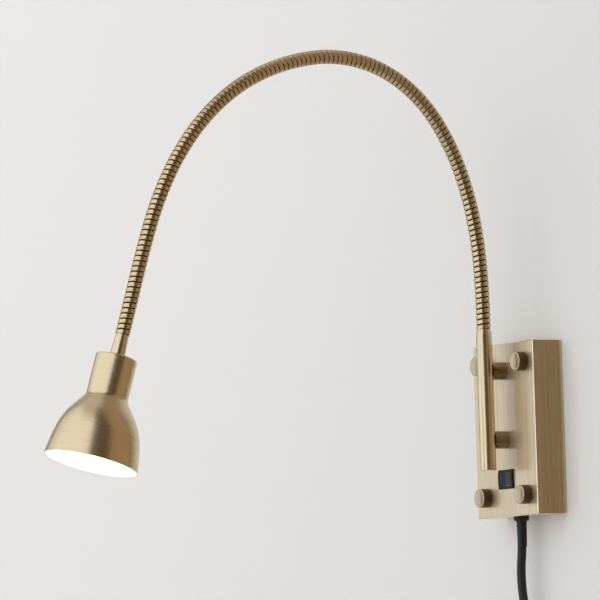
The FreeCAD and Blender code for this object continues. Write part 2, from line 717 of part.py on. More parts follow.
def lampholder_contacts():
    """The screw shell and the centre contact."""
    low = HOLDER_FLOOR + SHELL_START
    shell = post(HOLDER_BORE_RADIUS, low, low + SHELL_LENGTH).cut(
        post(SHELL_BORE, low - OVERCUT, low + SHELL_LENGTH + OVERCUT))
    centre = post(CONTACT_RADIUS, HOLDER_FLOOR, BULB_START)
    return [on_head(shell), on_head(centre)]


def bulb_base():
    shoulder = BULB_START + BULB_TIP_LENGTH
    end = BULB_START + BULB_BASE_LENGTH
    return on_head(lathe([(0, BULB_START), (BULB_TIP_RADIUS, BULB_START), (BULB_TIP_RADIUS, shoulder),
                          (SHELL_BORE - BULB_BASE_CHAMFER, shoulder),
                          (SHELL_BORE, shoulder + BULB_BASE_CHAMFER), (SHELL_BORE, end), (0, end)]))


def bulb_glass():
    """A reflector bulb's envelope: a neck on the base, a cone, and a domed face."""
    base = BULB_START + BULB_BASE_LENGTH
    face = BULB_START + BULB_LENGTH
    shoulder = base + BULB_NECK_LENGTH
    equator = shoulder + BULB_CONE_LENGTH
    wall = BULB_WALL
    cone = ((BULB_NECK_RADIUS + BULB_RADIUS) / 2 + BULB_CONE_BULGE,
            (shoulder + equator) / 2 - BULB_CONE_BULGE)
    outer = [(BULB_NECK_RADIUS, base), (BULB_NECK_RADIUS, shoulder), cone + (BULB_RADIUS, equator),
             (BULB_RADIUS, face - BULB_FACE_DEPTH),
             dome(BULB_RADIUS, face, BULB_FACE_DEPTH) + (0, face)]
    inner = [(0, face - wall),
             dome(BULB_RADIUS - wall, face - wall, BULB_FACE_DEPTH)
             + (BULB_RADIUS - wall, face - wall - BULB_FACE_DEPTH),
             (BULB_RADIUS - wall, equator),
             (cone[0] - wall, cone[1], BULB_NECK_RADIUS - wall, shoulder),
             (BULB_NECK_RADIUS - wall, base)]
    return on_head(lathe(outer + inner))


# ---------------------------------------------------------------- flex in the stem and in the head

def stem_flex():
    """From the terminal block through the lower standoff and up the stem to the neck."""
    block_y = -BRACKET_THICKNESS - BLOCK_DEPTH / 2.0
    block_bottom = BLOCK_Z - BLOCK_HEIGHT / 2.0
    points = [V(0, -STEM_OUT, NECK_START), V(0, -STEM_OUT, STANDOFF_LOWER_Z),
              V(0, block_y - 3.5, STANDOFF_LOWER_Z), V(BLOCK_X - 10.0, block_y, block_bottom - 12.0),
              V(BLOCK_X, block_y, block_bottom - 7.0), V(BLOCK_X, block_y, block_bottom)]
    return bent_tube("stem_flex", points, FLEX_RADIUS, FLEX_BEND_RADIUS)


def head_flex():
    return on_head(post(FLEX_RADIUS, 0.0, HOLDER_FLOOR))


# ---------------------------------------------------------------- switch

def rocker_window(out0, out1):
    """The opening that the rocker moves in."""
    half_x = BEZEL_WIDTH / 2.0 - BEZEL_FRAME
    half_z = BEZEL_HEIGHT / 2.0 - BEZEL_FRAME
    return block(-half_x, half_x, -out1, -out0, SWITCH_Z - half_z, SWITCH_Z + half_z)


def rocker_pins(radius, length):
    """The rocker's pivot, standing out of its two ends."""
    half = BEZEL_HEIGHT / 2.0 - BEZEL_FRAME + length
    return post(radius, SWITCH_Z - half, SWITCH_Z + half, 0, -(COVER_DEPTH - ROCKER_PIVOT_DEPTH))


def switch_housing():
    half_x = BEZEL_WIDTH / 2.0
    half_z = BEZEL_HEIGHT / 2.0
    bezel = block(-half_x, half_x, -COVER_DEPTH - BEZEL_THICKNESS, -COVER_DEPTH,
                  SWITCH_Z - half_z, SWITCH_Z + half_z)
    front = [e for e in bezel.Edges if e.BoundBox.YMax < -COVER_DEPTH - BEZEL_THICKNESS / 2.0]
    bezel = bezel.makeChamfer(BEZEL_CHAMFER, front)
    back = COVER_DEPTH - SWITCH_BODY_DEPTH
    body = bezel.fuse(switch_cutout(0.0, back, COVER_DEPTH))
    cavity = rocker_window(back + SWITCH_FLOOR, COVER_DEPTH + BEZEL_THICKNESS + OVERCUT)
    pins = rocker_pins(ROCKER_PIN_RADIUS + ROCKER_PIN_PLAY, ROCKER_PIN_LENGTH + PLAY)
    return body.removeSplitter().cut([cavity, pins])


def switch_rocker():
    """A shallow V face on a rounded body, tilted with its right half pressed in."""
    half_x = BEZEL_WIDTH / 2.0 - BEZEL_FRAME - ROCKER_END_GAP
    half_z = BEZEL_HEIGHT / 2.0 - BEZEL_FRAME - ROCKER_SIDE_GAP
    pivot_out = COVER_DEPTH - ROCKER_PIVOT_DEPTH
    drop = half_x * math.tan(math.radians(ROCKER_TILT))
    middle = COVER_DEPTH + ROCKER_PROUD
    outline = [V(-half_x, -(middle + drop), 0), V(0, -middle, 0), V(half_x, -(middle + drop), 0),
               V(half_x, -pivot_out, 0), V(ROCKER_KEEL_HALF, -(pivot_out - ROCKER_KEEL), 0),
               V(-ROCKER_KEEL_HALF, -(pivot_out - ROCKER_KEEL), 0), V(-half_x, -pivot_out, 0)]
    outline.append(outline[0])
    body = Part.Face(Part.makePolygon(outline)).extrude(V(0, 0, 2 * half_z))
    body.translate(V(0, 0, SWITCH_Z - half_z))
    rocker = body.fuse(rocker_pins(ROCKER_PIN_RADIUS, ROCKER_PIN_LENGTH))
    rocker.rotate(V(0, -pivot_out, 0), V(0, 0, 1), ROCKER_TILT)
    return rocker


def switch_terminals():
    back = COVER_DEPTH - SWITCH_BODY_DEPTH
    tabs = []
    for x in (-TAB_SPACING / 2.0, TAB_SPACING / 2.0):
        tabs.append(block(x - TAB_THICKNESS / 2, x + TAB_THICKNESS / 2, -back, -(back - TAB_LENGTH),
                          SWITCH_Z - TAB_WIDTH / 2, SWITCH_Z + TAB_WIDTH / 2))
    return tabs


# ---------------------------------------------------------------- terminals and wires in the box

def block_pole_x(pole):
    return BLOCK_X + (pole - (BLOCK_POLES - 1) / 2.0) * BLOCK_WIDTH / BLOCK_POLES


def terminal_block():
    body = block(BLOCK_X - BLOCK_WIDTH / 2, BLOCK_X + BLOCK_WIDTH / 2,
                 -BRACKET_THICKNESS - BLOCK_DEPTH, -BRACKET_THICKNESS,
                 BLOCK_Z - BLOCK_HEIGHT / 2, BLOCK_Z + BLOCK_HEIGHT / 2)
    front = BRACKET_THICKNESS + BLOCK_DEPTH
    holes = []
    for pole in range(BLOCK_POLES):
        holes.append(placed(post(BLOCK_SCREW_RADIUS, front - BLOCK_SCREW_DEPTH, front + OVERCUT),
                            block_pole_x(pole), 0, BLOCK_Z, 90))
    return body.cut(holes)


def terminal_screws():
    front = BRACKET_THICKNESS + BLOCK_DEPTH
    return [placed(post(BLOCK_SCREW_RADIUS, front - BLOCK_SCREW_DEPTH, front - BLOCK_SCREW_SUNK),
                   block_pole_x(pole), 0, BLOCK_Z, 90) for pole in range(BLOCK_POLES)]


def earth_terminal():
    """A ring tag and the screw that holds it to the bracket."""
    tag_front = BRACKET_THICKNESS + EARTH_TAG_THICKNESS
    tag = post(EARTH_TAG_RADIUS, BRACKET_THICKNESS, tag_front).cut(
        post(EARTH_SCREW_RADIUS, 0, tag_front + OVERCUT))
    screw = post(EARTH_SCREW_RADIUS, 0, tag_front).fuse(
        post(EARTH_SCREW_HEAD_RADIUS, tag_front, tag_front + EARTH_SCREW_HEAD_HEIGHT))
    return [placed(tag, EARTH_X, 0, EARTH_Z, 90), placed(screw.removeSplitter(), EARTH_X, 0, EARTH_Z, 90)]


def box_wires():
    """Cores from the gland to the block, the switch and the earth tag, their bends set by hand."""
    gland_top = COVER_BOTTOM + COVER_WALL + GLAND_COLLAR_HEIGHT
    block_bottom = BLOCK_Z - BLOCK_HEIGHT / 2.0
    block_y = -BRACKET_THICKNESS - BLOCK_DEPTH / 2.0
    tab_y = -(COVER_DEPTH - SWITCH_BODY_DEPTH - TAB_LENGTH)
    tab_x = TAB_SPACING / 2.0
    tag_y = -BRACKET_THICKNESS - EARTH_TAG_THICKNESS
    crossing_y = tag_y - EARTH_SCREW_HEAD_HEIGHT - WIRE_RADIUS - WIRE_CLEARANCE
    neutral = [V(1.5, -GLAND_OUT, gland_top), V(1.5, -GLAND_OUT, gland_top + 5.0),
               V(14.0, -GLAND_OUT + 2.0, gland_top + 14.0), V(15.0, -GLAND_OUT + 4.0, SWITCH_Z + 14.0),
               V(block_pole_x(0), -BRACKET_THICKNESS - 2.2, block_bottom - 19.0),
               V(block_pole_x(0), -BRACKET_THICKNESS - 2.2, block_bottom)]
    live = [V(-1.5, -GLAND_OUT, gland_top), V(-1.5, -GLAND_OUT, gland_top + 4.0),
            V(-tab_x, tab_y + 1.8, SWITCH_Z - 7.5), V(-tab_x, tab_y + WIRE_RADIUS, SWITCH_Z)]
    switched = [V(tab_x, tab_y + WIRE_RADIUS, SWITCH_Z), V(tab_x, tab_y + 2.2, SWITCH_Z + 8.0),
                V(block_pole_x(2) - 4.0, crossing_y, SWITCH_Z + 20.0),
                V(block_pole_x(2), block_y, block_bottom - 9.0), V(block_pole_x(2), block_y, block_bottom)]
    earth = [V(0, -GLAND_OUT + 2.4, gland_top), V(0, -GLAND_OUT + 2.4, gland_top + 3.5),
             V(16.0, tag_y - 4.0, gland_top + 9.0),
             V(EARTH_X, tag_y - WIRE_RADIUS, EARTH_Z - EARTH_TAG_RADIUS - 6.0),
             V(EARTH_X, tag_y - WIRE_RADIUS, EARTH_Z - EARTH_SCREW_HEAD_RADIUS - PLAY)]
    routes = {"neutral": neutral, "live": live, "switched": switched, "earth": earth}
    return [bent_tube(name + " wire", route, WIRE_RADIUS) for name, route in routes.items()]


# ---------------------------------------------------------------- cord

def cord_gland():
    """A moulded strain relief snapped into the cover's floor, with a tapered sleeve round the cord."""
    top = COVER_BOTTOM + COVER_WALL
    edge = GLAND_FLANGE_EDGE
    sleeve_end = CORD_EXIT_Z - GLAND_SLEEVE_LENGTH
    bore = CORD_RADIUS + GLAND_CORD_PLAY
    gland = lathe([(0, CORD_EXIT_Z), (bore, CORD_EXIT_Z), (bore, sleeve_end),
                   (GLAND_SLEEVE_END_RADIUS, sleeve_end), (GLAND_SLEEVE_START_RADIUS, CORD_EXIT_Z),
                   (GLAND_FLANGE_RADIUS - edge, CORD_EXIT_Z),
                   quarter(GLAND_FLANGE_RADIUS, CORD_EXIT_Z, edge, -1, 1)
                   + (GLAND_FLANGE_RADIUS, CORD_EXIT_Z + edge),
                   (GLAND_FLANGE_RADIUS, COVER_BOTTOM), (GLAND_NECK_RADIUS, COVER_BOTTOM),
                   (GLAND_NECK_RADIUS, top), (GLAND_COLLAR_RADIUS, top),
                   (GLAND_TOP_RADIUS, top + GLAND_COLLAR_HEIGHT), (0, top + GLAND_COLLAR_HEIGHT)])
    return placed(gland, 0, -GLAND_OUT, 0, 0)


def coil_frame(turns):
    """The coil's point and direction after some turns: in and out in layers, climbing at each reversal."""
    phase = turns / COIL_LAYER_TURNS
    swing = phase % 2.0
    ramp = 1.0 - swing if swing <= 1.0 else swing - 1.0
    layer = min(int(phase), COIL_LAYERS - 1)
    nearest = round(phase)
    climb = 0.0
    half_climb = 0.25 / COIL_LAYER_TURNS
    if 0 < nearest < COIL_LAYERS and abs(phase - nearest) < half_climb:
        part = (phase - nearest + half_climb) / (2.0 * half_climb)
        layer = nearest - 1
        climb = part * part * (3.0 - 2.0 * part)
    radius = COIL_MEAN_RADIUS + (ramp - 0.5) * COIL_LAYER_TURNS * COIL_TURN_STEP
    out = COIL_FIRST_OUT + (layer + climb) * COIL_LAYER_STEP
    angle = math.radians(COIL_START_ANGLE) - 2.0 * math.pi * turns
    return V(COIL_CENTRE_X + radius * math.cos(angle), -out, COIL_CENTRE_Z + radius * math.sin(angle))


def coil_direction(turns):
    """Along the turns, but square to the radius at the start and straight down at the end."""
    if turns <= 0.0:
        angle = math.radians(COIL_START_ANGLE)
        return V(math.sin(angle), 0, -math.cos(angle))
    if turns >= COIL_TOTAL_TURNS:
        return V(0, 0, -1)
    direction = coil_frame(turns + COIL_SLOPE_STEP) - coil_frame(turns - COIL_SLOPE_STEP)
    direction.normalize()
    return direction


def tangent_arc(start, control, end):
    """The arc from start to end whose tangents meet at the control point."""
    middle = (start + end) * 0.5
    half_chord = (end - start).Length / 2.0
    rise = control - middle
    lean = math.atan2(rise.Length, half_chord)
    rise.normalize()
    return Part.Arc(start, middle + rise * (half_chord * math.tan(lean / 2.0)), end).toShape()


def biarc(start, start_direction, end, end_direction):
    """Two arcs that leave and arrive along given directions."""
    span = end - start
    together = start_direction + end_direction
    bend = 2.0 * (1.0 - start_direction.dot(end_direction))
    reach = (-span.dot(together) + math.sqrt(span.dot(together) ** 2 + bend * span.dot(span))) / bend
    first = start + start_direction * reach
    second = end - end_direction * reach
    joint = (first + second) * 0.5
    return [tangent_arc(start, first, joint), tangent_arc(joint, second, end)]


def coil_path():
    """A short lead, a biarc for each quarter turn, and a straight tail down to the plug."""
    quarters = int(COIL_TOTAL_TURNS * 4.0)
    stations = [COIL_TOTAL_TURNS * k / quarters for k in range(quarters + 1)]
    first = coil_frame(0.0)
    last = coil_frame(COIL_TOTAL_TURNS)
    edges = [Part.LineSegment(first - coil_direction(0.0) * COIL_LEAD, first).toShape()]
    for a, b in zip(stations, stations[1:]):
        edges += biarc(coil_frame(a), coil_direction(a), coil_frame(b), coil_direction(b))
    edges.append(Part.LineSegment(last, last + V(0, 0, -COIL_TAIL)).toShape())
    return edges


def print_coil_gap(edges):
    """Measure the least gap between turns on evenly spaced points."""
    points = []
    run = 0.0
    for edge in edges:
        count = max(2, int(edge.Length / COIL_SAMPLE_STEP))
        for k in range(count):
            at = edge.FirstParameter + (edge.LastParameter - edge.FirstParameter) * k / count
            points.append((run + edge.Length * k / count, edge.valueAt(at)))
        run += edge.Length
    apart = math.pi * (COIL_MEAN_RADIUS - COIL_LAYER_TURNS * COIL_TURN_STEP)
    gap = min((p - q).Length for i, (s, p) in enumerate(points) for t, q in points[i + 1:]
              if t - s > apart)
    print("cord_coil: length %.1f, least gap %.2f" % (run, gap - 2.0 * CORD_RADIUS))
    return run


def cord_coil():
    edges = coil_path()
    length = print_coil_gap(edges)
    solid = sweep(edges, CORD_RADIUS)
    print("cord_coil: volume share %.4f" % (solid.Volume / (math.pi * CORD_RADIUS ** 2 * length)))
    return solid


def cord_free():
    """The hanging cord from the gland to the coil."""
    coil_start = coil_frame(0.0) - coil_direction(0.0) * COIL_LEAD
    points = [V(0, -GLAND_OUT, CORD_EXIT_Z), V(0, -GLAND_OUT, -108.0), V(4.9, -12.0, -142.6),
              coil_start - coil_direction(0.0) * 30.0, coil_start]
    return bent_tube("cord_free", points, CORD_RADIUS)


def cord_tie():
    """A strap round the coil's turns."""
    spread = COIL_LAYER_TURNS * COIL_TURN_STEP / 2.0 + CORD_RADIUS + TIE_ROOM
    low = COIL_MEAN_RADIUS - spread
    high = COIL_MEAN_RADIUS + spread
    near = COIL_FIRST_OUT - CORD_RADIUS - TIE_ROOM
    far = COIL_FIRST_OUT + (COIL_LAYERS - 1) * COIL_LAYER_STEP + CORD_RADIUS + TIE_ROOM
    half = TIE_WIDTH / 2.0
    t = TIE_THICKNESS
    band = block(low - t, high + t, -far - t, -near + t, -half, half)
    band = band.makeFillet(TIE_CORNER_RADIUS, [e for e in band.Edges if e.BoundBox.ZLength > half])
    band = band.cut(block(low, high, -far, -near, -half - OVERCUT, half + OVERCUT))
    band.rotate(V(0, 0, 0), V(0, -1, 0), TIE_ANGLE)
    band.translate(V(COIL_CENTRE_X, 0, COIL_CENTRE_Z))
    return band


PLUG_TOP = coil_frame(COIL_TOTAL_TURNS) - V(0, 0, COIL_TAIL)
PLUG_FACE = PLUG_SLEEVE_LENGTH + PLUG_SHOULDER_LENGTH + PLUG_BODY_LENGTH


def on_plug(shape):
    return placed(shape, PLUG_TOP.x, PLUG_TOP.y, PLUG_TOP.z, 180)


def pin_places():
    return (-PLUG_PIN_SPACING / 2.0, PLUG_PIN_SPACING / 2.0)


def plug_body():
    shoulder = PLUG_SLEEVE_LENGTH + PLUG_SHOULDER_LENGTH
    body = lathe([(0, 0), (PLUG_SLEEVE_START_RADIUS, 0), (PLUG_SLEEVE_END_RADIUS, PLUG_SLEEVE_LENGTH),
                  (PLUG_RADIUS - PLUG_EDGE, shoulder),
                  quarter(PLUG_RADIUS, shoulder, PLUG_EDGE, -1, 1) + (PLUG_RADIUS, shoulder + PLUG_EDGE),
                  (PLUG_RADIUS, PLUG_FACE), (0, PLUG_FACE)])
    cutters = [post(PLUG_PIN_RADIUS, PLUG_FACE - PLUG_PIN_ROOT, PLUG_FACE + OVERCUT, x) for x in pin_places()]
    cutters += [earth_clip(side, OVERCUT) for side in (-1, 1)]
    return on_plug(body.cut(cutters))


def earth_clip(side, more=0.0):
    """A contact strip let into the plug's side, or with more, the slot that it sits in."""
    inner = side * (PLUG_RADIUS - EARTH_CLIP_THICKNESS)
    outer = side * (PLUG_RADIUS + more)
    return block(-EARTH_CLIP_WIDTH / 2, EARTH_CLIP_WIDTH / 2, min(inner, outer), max(inner, outer),
                 PLUG_FACE - EARTH_CLIP_LENGTH, PLUG_FACE + more)


def plug_contacts():
    """Two round pins and the two earth strips."""
    tip = PLUG_FACE + PLUG_PIN_LENGTH
    pin = lathe([(0, PLUG_FACE - PLUG_PIN_ROOT), (PLUG_PIN_RADIUS, PLUG_FACE - PLUG_PIN_ROOT),
                 (PLUG_PIN_RADIUS, tip - PLUG_PIN_RADIUS),
                 quarter(PLUG_PIN_RADIUS, tip, PLUG_PIN_RADIUS, -1, -1) + (0, tip)])
    contacts = [placed(pin, x, 0, 0, 0) for x in pin_places()]
    contacts += [earth_clip(side) for side in (-1, 1)]
    return [on_plug(contact) for contact in contacts]


# ---------------------------------------------------------------- write the parts

def write(name, shape):
    """Save one node; a list is a group of separate solids."""
    solids = shape if isinstance(shape, list) else [shape]
    solids = [solid for item in solids for solid in item.Solids]
    result = solids[0] if len(solids) == 1 else Part.Compound(solids)
    if not result.isValid():
        print("NOT VALID:", name)
    result.exportStep("parts/" + name + ".step")
    print("%-22s solids %d  volume %.1f" % (name, len(solids), result.Volume))


def main():
    os.makedirs("parts", exist_ok=True)
    write("plate_cover", plate_cover())
    write("mounting_bracket", mounting_bracket())
    write("bracket_studs", bracket_studs())
    write("knurled_nuts", knurled_nuts())
    write("stem_tube", stem_tube())
    write("stem_end_cap", stem_end_cap())
    write("standoffs", standoffs())
    write("standoff_pipes", standoff_pipes())
    write("pipe_nuts", pipe_nuts())
    write("neck_ferrule_lower", neck_ferrule_lower())
    for index in range(len(NECK_TURNS)):
        write("neck_segment_%02d" % (index + 1), neck_segment(index))
        write("neck_flex_%02d" % (index + 1), neck_flex(index))
    write("neck_ferrule_upper", neck_ferrule_upper())
    write("head_pipe", head_pipe())
    write("shade", shade())
    write("lampholder_body", lampholder_body())
    write("lampholder_contacts", lampholder_contacts())
    write("bulb_base", bulb_base())
    write("bulb_glass", bulb_glass())
    write("stem_flex", stem_flex())
    write("head_flex", head_flex())
    write("switch_housing", switch_housing())
    write("switch_rocker", switch_rocker())
    write("switch_terminals", switch_terminals())
    write("terminal_block", terminal_block())
    write("terminal_screws", terminal_screws())
    write("earth_terminal", earth_terminal())
    write("box_wires", box_wires())
    write("cord_gland", cord_gland())
    write("cord_free", cord_free())
    write("cord_coil", cord_coil())
    write("cord_tie", cord_tie())
    write("plug_body", plug_body())
    write("plug_contacts", plug_contacts())


main()
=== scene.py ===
import json
import math

import bmesh
import bpy
from mathutils import Matrix, Vector

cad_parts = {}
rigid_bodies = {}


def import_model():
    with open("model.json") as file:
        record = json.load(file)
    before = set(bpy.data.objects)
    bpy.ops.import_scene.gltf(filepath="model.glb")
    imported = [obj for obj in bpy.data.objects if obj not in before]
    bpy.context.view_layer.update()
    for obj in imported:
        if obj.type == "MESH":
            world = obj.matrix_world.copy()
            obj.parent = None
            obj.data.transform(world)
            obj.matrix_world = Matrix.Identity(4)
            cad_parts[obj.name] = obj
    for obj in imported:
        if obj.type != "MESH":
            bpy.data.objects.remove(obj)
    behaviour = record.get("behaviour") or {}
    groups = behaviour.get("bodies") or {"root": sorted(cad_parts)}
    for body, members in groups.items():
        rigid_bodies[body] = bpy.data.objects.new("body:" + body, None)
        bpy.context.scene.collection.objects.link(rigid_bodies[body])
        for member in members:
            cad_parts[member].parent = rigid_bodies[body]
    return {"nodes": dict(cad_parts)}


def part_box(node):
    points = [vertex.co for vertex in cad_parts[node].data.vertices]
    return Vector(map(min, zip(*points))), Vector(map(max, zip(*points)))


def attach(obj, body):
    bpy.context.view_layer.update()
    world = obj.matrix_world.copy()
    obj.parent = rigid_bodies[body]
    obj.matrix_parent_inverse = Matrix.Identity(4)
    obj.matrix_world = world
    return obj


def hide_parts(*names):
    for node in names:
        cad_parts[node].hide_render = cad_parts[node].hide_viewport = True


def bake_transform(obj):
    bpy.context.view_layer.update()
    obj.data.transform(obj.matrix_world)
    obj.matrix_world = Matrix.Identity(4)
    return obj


# Bedside wall reading lamp in antique brass: a wall box with knurled nuts, a rocker switch
# and a stem, a ribbed gooseneck, a spun bell shade with a lit bulb, and a mains cord.
# Everything is in metres in the frame of the CAD model: the wall is the plane Y = 0.

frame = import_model()
NODES = frame["nodes"]

for leftover in [o for o in bpy.context.scene.objects if o.name in ("Cube", "Light", "Camera")]:
    bpy.data.objects.remove(leftover)
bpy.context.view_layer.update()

# ---------------------------------------------------------------- the photograph's view

PHOTO_SIZE = 600.0                   # pixels, both ways
PHOTO_ORIGIN = (533.72, 430.12)      # the pixel of the object's origin
PHOTO_SCALE = 5769.2                 # focal length in pixels
VIEW_AZIMUTH = math.radians(58.5)
VIEW_FROM_BELOW = math.radians(2.965)
VIEW_ROLL = math.radians(1.955)
VIEW_DISTANCE = 4.5
SENSOR_WIDTH = 36.0

# ---------------------------------------------------------------- sizes that the pieces share, metres

COVER_LOW, COVER_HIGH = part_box("plate_cover")
COVER_DEPTH = -COVER_LOW.y
COVER_WALL = 0.0012
COVER_EDGE = 0.0010
COVER_HOLE_EDGE = 0.0002             # rounding of the cover's inside corners
STEM_OUT = 0.0424
STEM_RADIUS = 0.0063
STEM_BORE = 0.0050
STEM_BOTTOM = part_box("stem_tube")[0].z
STEM_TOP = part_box("stem_tube")[1].z
END_CAP_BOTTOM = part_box("stem_end_cap")[0].z
END_CAP_EDGE = 0.0005
END_CAP_SPIGOT = 0.006               # the part of the cap inside the tube
CAP_GROOVE_DROP = 0.0016             # the cap's groove below the tube's end
CAP_GROOVE_HALF = 0.0002
CAP_GROOVE_DEPTH = 0.0003
CAP_GROOVE_EDGE = 0.0001
JOINT_EDGE = 0.0002                  # rounding of two edges that meet in a joint line

NUT_PLACES = [(x, z) for x in (-0.030, 0.030) for z in (-0.0515, 0.0515)]
NUT_RADIUS = 0.0074
NUT_HEIGHT = 0.0080
NUT_RIM = 0.0008
NUT_BORE_RADIUS = 0.0025
NUT_BORE_DEPTH = 0.006
NUT_BASE_INSET = 0.0005
NUT_FACE_EDGE = 0.0013               # the face's raised ring, in from the side
NUT_FACE_INSET = 0.0015              # the face's sunk middle, in from the side
NUT_FACE_DEPTH = 0.0001
NUT_KNURLS = 42
POINTS_PER_KNURL = 6
KNURL_ROWS = 36
KNURL_DEPTH = 0.00022
KNURL_START = 0.0005                 # above the nut's base
KNURL_STOP = 0.0009                  # below the nut's top

RIB_PITCH = 0.004125
RIB_DEPTH = 0.00080
RIB_CREST = 0.00545
RIB_GROOVE_HALF = 0.00042
RIB_CROWN = 0.00004                  # doming of a rib's crest
NECK_BORE = 0.0032
NECK_TURNS = (3.1, 7.9, 10.5, 13.8, 20.8, 22.0, 20.4, 13.4, 15.2, 13.5, 11.3, 8.7, 2.7, -0.5)
RIBS_PER_SEGMENT = 10
BLEND_REACH = 0.42                   # of a segment, to each side of its hinge
# The neck is darker down in its grooves: brown patina together with painted shade, set by how deep each point
# lies.
PATINA_AND_SHADE = "patina_and_shade"                    # how deep in a groove a point of the neck is, 0 to 1
PATINA_AND_SHADE_FROM = 0.06                   # of a groove's depth, where the patina begins
NECK_START = 0.0785
NECK_STRAIGHT = 2.0 * RIB_CREST

FERRULE_BORE = 0.0024                # round the flex, in both ferrules
SPIGOT_RADIUS = 0.0030               # the part of each ferrule inside the neck
SPIGOT_LENGTH = 0.006
LOW_FERRULE_TENON = 0.008            # the lower ferrule's part inside the stem
LOW_FERRULE_WAIST = 0.00605
LOW_FERRULE_TIP = 0.00525
FERRULE_LENGTH = 0.0178
FERRULE_THIN = 0.0049
FERRULE_THICK = 0.0060
HEAD_THREAD_RADIUS = 0.0040
HEAD_THREAD_DEPTH = 0.009

SHADE_CAP_RADIUS = 0.0160
SHADE_CAP_LENGTH = 0.0303
SHADE_CAP_EDGE = 0.0013
SHADE_WALL = 0.0009
SHADE_HOLE_RADIUS = 0.0041
SHADE_FLARE_BEND = 0.005             # radius of the hollow bend under the cap
SHADE_FLARE_ANGLE = math.radians(36.0)
SHADE_CONE_LENGTH = 0.012
SHADE_BELLY_BEND = 0.050
SHADE_BELLY_ANGLE = math.radians(14.0)
SHADE_SKIRT_BEND = 0.150
SHADE_SKIRT_ANGLE = math.radians(6.0)
SHADE_RIM_LENGTH = 0.0024
SHADE_RIM_EDGE = SHADE_WALL * 0.45
SHADE_STEPS = 160

CORD_DIAMETER = 0.0070
CORD_EXIT = (0.0, -0.0140, -0.0709)
GLAND_FLANGE_RADIUS = 0.0061
GLAND_FLANGE_ROUND = 0.0018
GLAND_SLEEVE_LENGTH = 0.0200
GLAND_SLEEVE_TOP = 0.0040
GLAND_SLEEVE_END = 0.0036
GLAND_NECK_RADIUS = 0.0050           # through the cover's hole
GLAND_BARB_RADIUS = 0.0058           # behind the cover
GLAND_BARB_END = 0.0040
GLAND_BARB_LENGTH = 0.008

ARC_STEP = math.radians(8.0)
ROUND_STEPS = 96


# ---------------------------------------------------------------- camera

def make_camera():
    """The photograph's camera, turned towards the middle of its picture instead of shifted."""
    toward = Vector((math.sin(VIEW_AZIMUTH) * math.cos(VIEW_FROM_BELOW),
                     -math.cos(VIEW_AZIMUTH) * math.cos(VIEW_FROM_BELOW), -math.sin(VIEW_FROM_BELOW)))
    level = Vector((math.cos(VIEW_AZIMUTH), math.sin(VIEW_AZIMUTH), 0.0))
    plumb = Vector((math.sin(VIEW_AZIMUTH) * math.sin(VIEW_FROM_BELOW),
                    -math.cos(VIEW_AZIMUTH) * math.sin(VIEW_FROM_BELOW), math.cos(VIEW_FROM_BELOW)))
    right = level * math.cos(VIEW_ROLL) - plumb * math.sin(VIEW_ROLL)
    up = level * math.sin(VIEW_ROLL) + plumb * math.cos(VIEW_ROLL)
    middle = PHOTO_SIZE / 2.0
    aim = (-toward * PHOTO_SCALE + right * (middle - PHOTO_ORIGIN[0])
           + up * (PHOTO_ORIGIN[1] - middle)).normalized()
    up = (up - aim * up.dot(aim)).normalized()
    side = aim.cross(up)
    data = bpy.data.cameras.new("camera")
    data.sensor_fit = "HORIZONTAL"
    data.sensor_width = SENSOR_WIDTH
    data.lens = PHOTO_SCALE * SENSOR_WIDTH / PHOTO_SIZE
    data.clip_end = 100.0
    camera = bpy.data.objects.new("camera", data)
    bpy.context.scene.collection.objects.link(camera)
    camera.matrix_world = Matrix.Translation(toward * VIEW_DISTANCE) @ Matrix(
        (side, up, -aim)).transposed().to_4x4()
    bpy.context.scene.camera = camera


# ---------------------------------------------------------------- shader helpers

def new_material(name):
    made = bpy.data.materials.new(name)
    made.use_nodes = True
    return made, made.node_tree, made.node_tree.nodes["Principled BSDF"]


def noise(tree, scale, detail=2.0, stretch=(1.0, 1.0, 1.0)):
    """Noise in the piece's own metres, with its own stretch along each axis."""
    place = tree.nodes.new("ShaderNodeTexCoord")
    mapping = tree.nodes.new("ShaderNodeMapping")
    mapping.inputs["Scale"].default_value = stretch
    texture = tree.nodes.new("ShaderNodeTexNoise")
    texture.inputs["Scale"].default_value = scale
    texture.inputs["Detail"].default_value = detail
    tree.links.new(place.outputs["Object"], mapping.inputs["Vector"])
    tree.links.new(mapping.outputs["Vector"], texture.inputs["Vector"])
    return texture.outputs["Fac"]


def two_tones(tree, value, first, second, low=0.35, high=0.65):
    """A colour that goes from one tone to another as a value rises."""
    ramp = tree.nodes.new("ShaderNodeValToRGB")
    ramp.color_ramp.elements[0].position = low
    ramp.color_ramp.elements[0].color = (*first, 1.0)
    ramp.color_ramp.elements[1].position = high
    ramp.color_ramp.elements[1].color = (*second, 1.0)
    tree.links.new(value, ramp.inputs["Fac"])
    return ramp.outputs["Color"]


def spread(tree, value, low, high):
    """A noise value as a number between two limits."""
    scaled = tree.nodes.new("ShaderNodeMapRange")
    scaled.inputs["From Min"].default_value = 0.3
    scaled.inputs["From Max"].default_value = 0.7
    scaled.inputs["To Min"].default_value = low
    scaled.inputs["To Max"].default_value = high
    tree.links.new(value, scaled.inputs["Value"])
    return scaled.outputs["Result"]


def mixed(tree, first, second, share):
    """Two values or colours as one, the second with a share of it."""
    blend = tree.nodes.new("ShaderNodeMix")
    coloured = first.type == "RGBA"
    blend.data_type = "RGBA" if coloured else "FLOAT"
    sockets = {socket.identifier: socket for socket in blend.inputs}
    kind = "Color" if coloured else "Float"
    tree.links.new(first, sockets["A_" + kind])
    tree.links.new(second, sockets["B_" + kind])
    if isinstance(share, float):
        sockets["Factor_Float"].default_value = share
    else:
        tree.links.new(share, sockets["Factor_Float"])
    return next(socket for socket in blend.outputs if socket.identifier == "Result_" + kind)


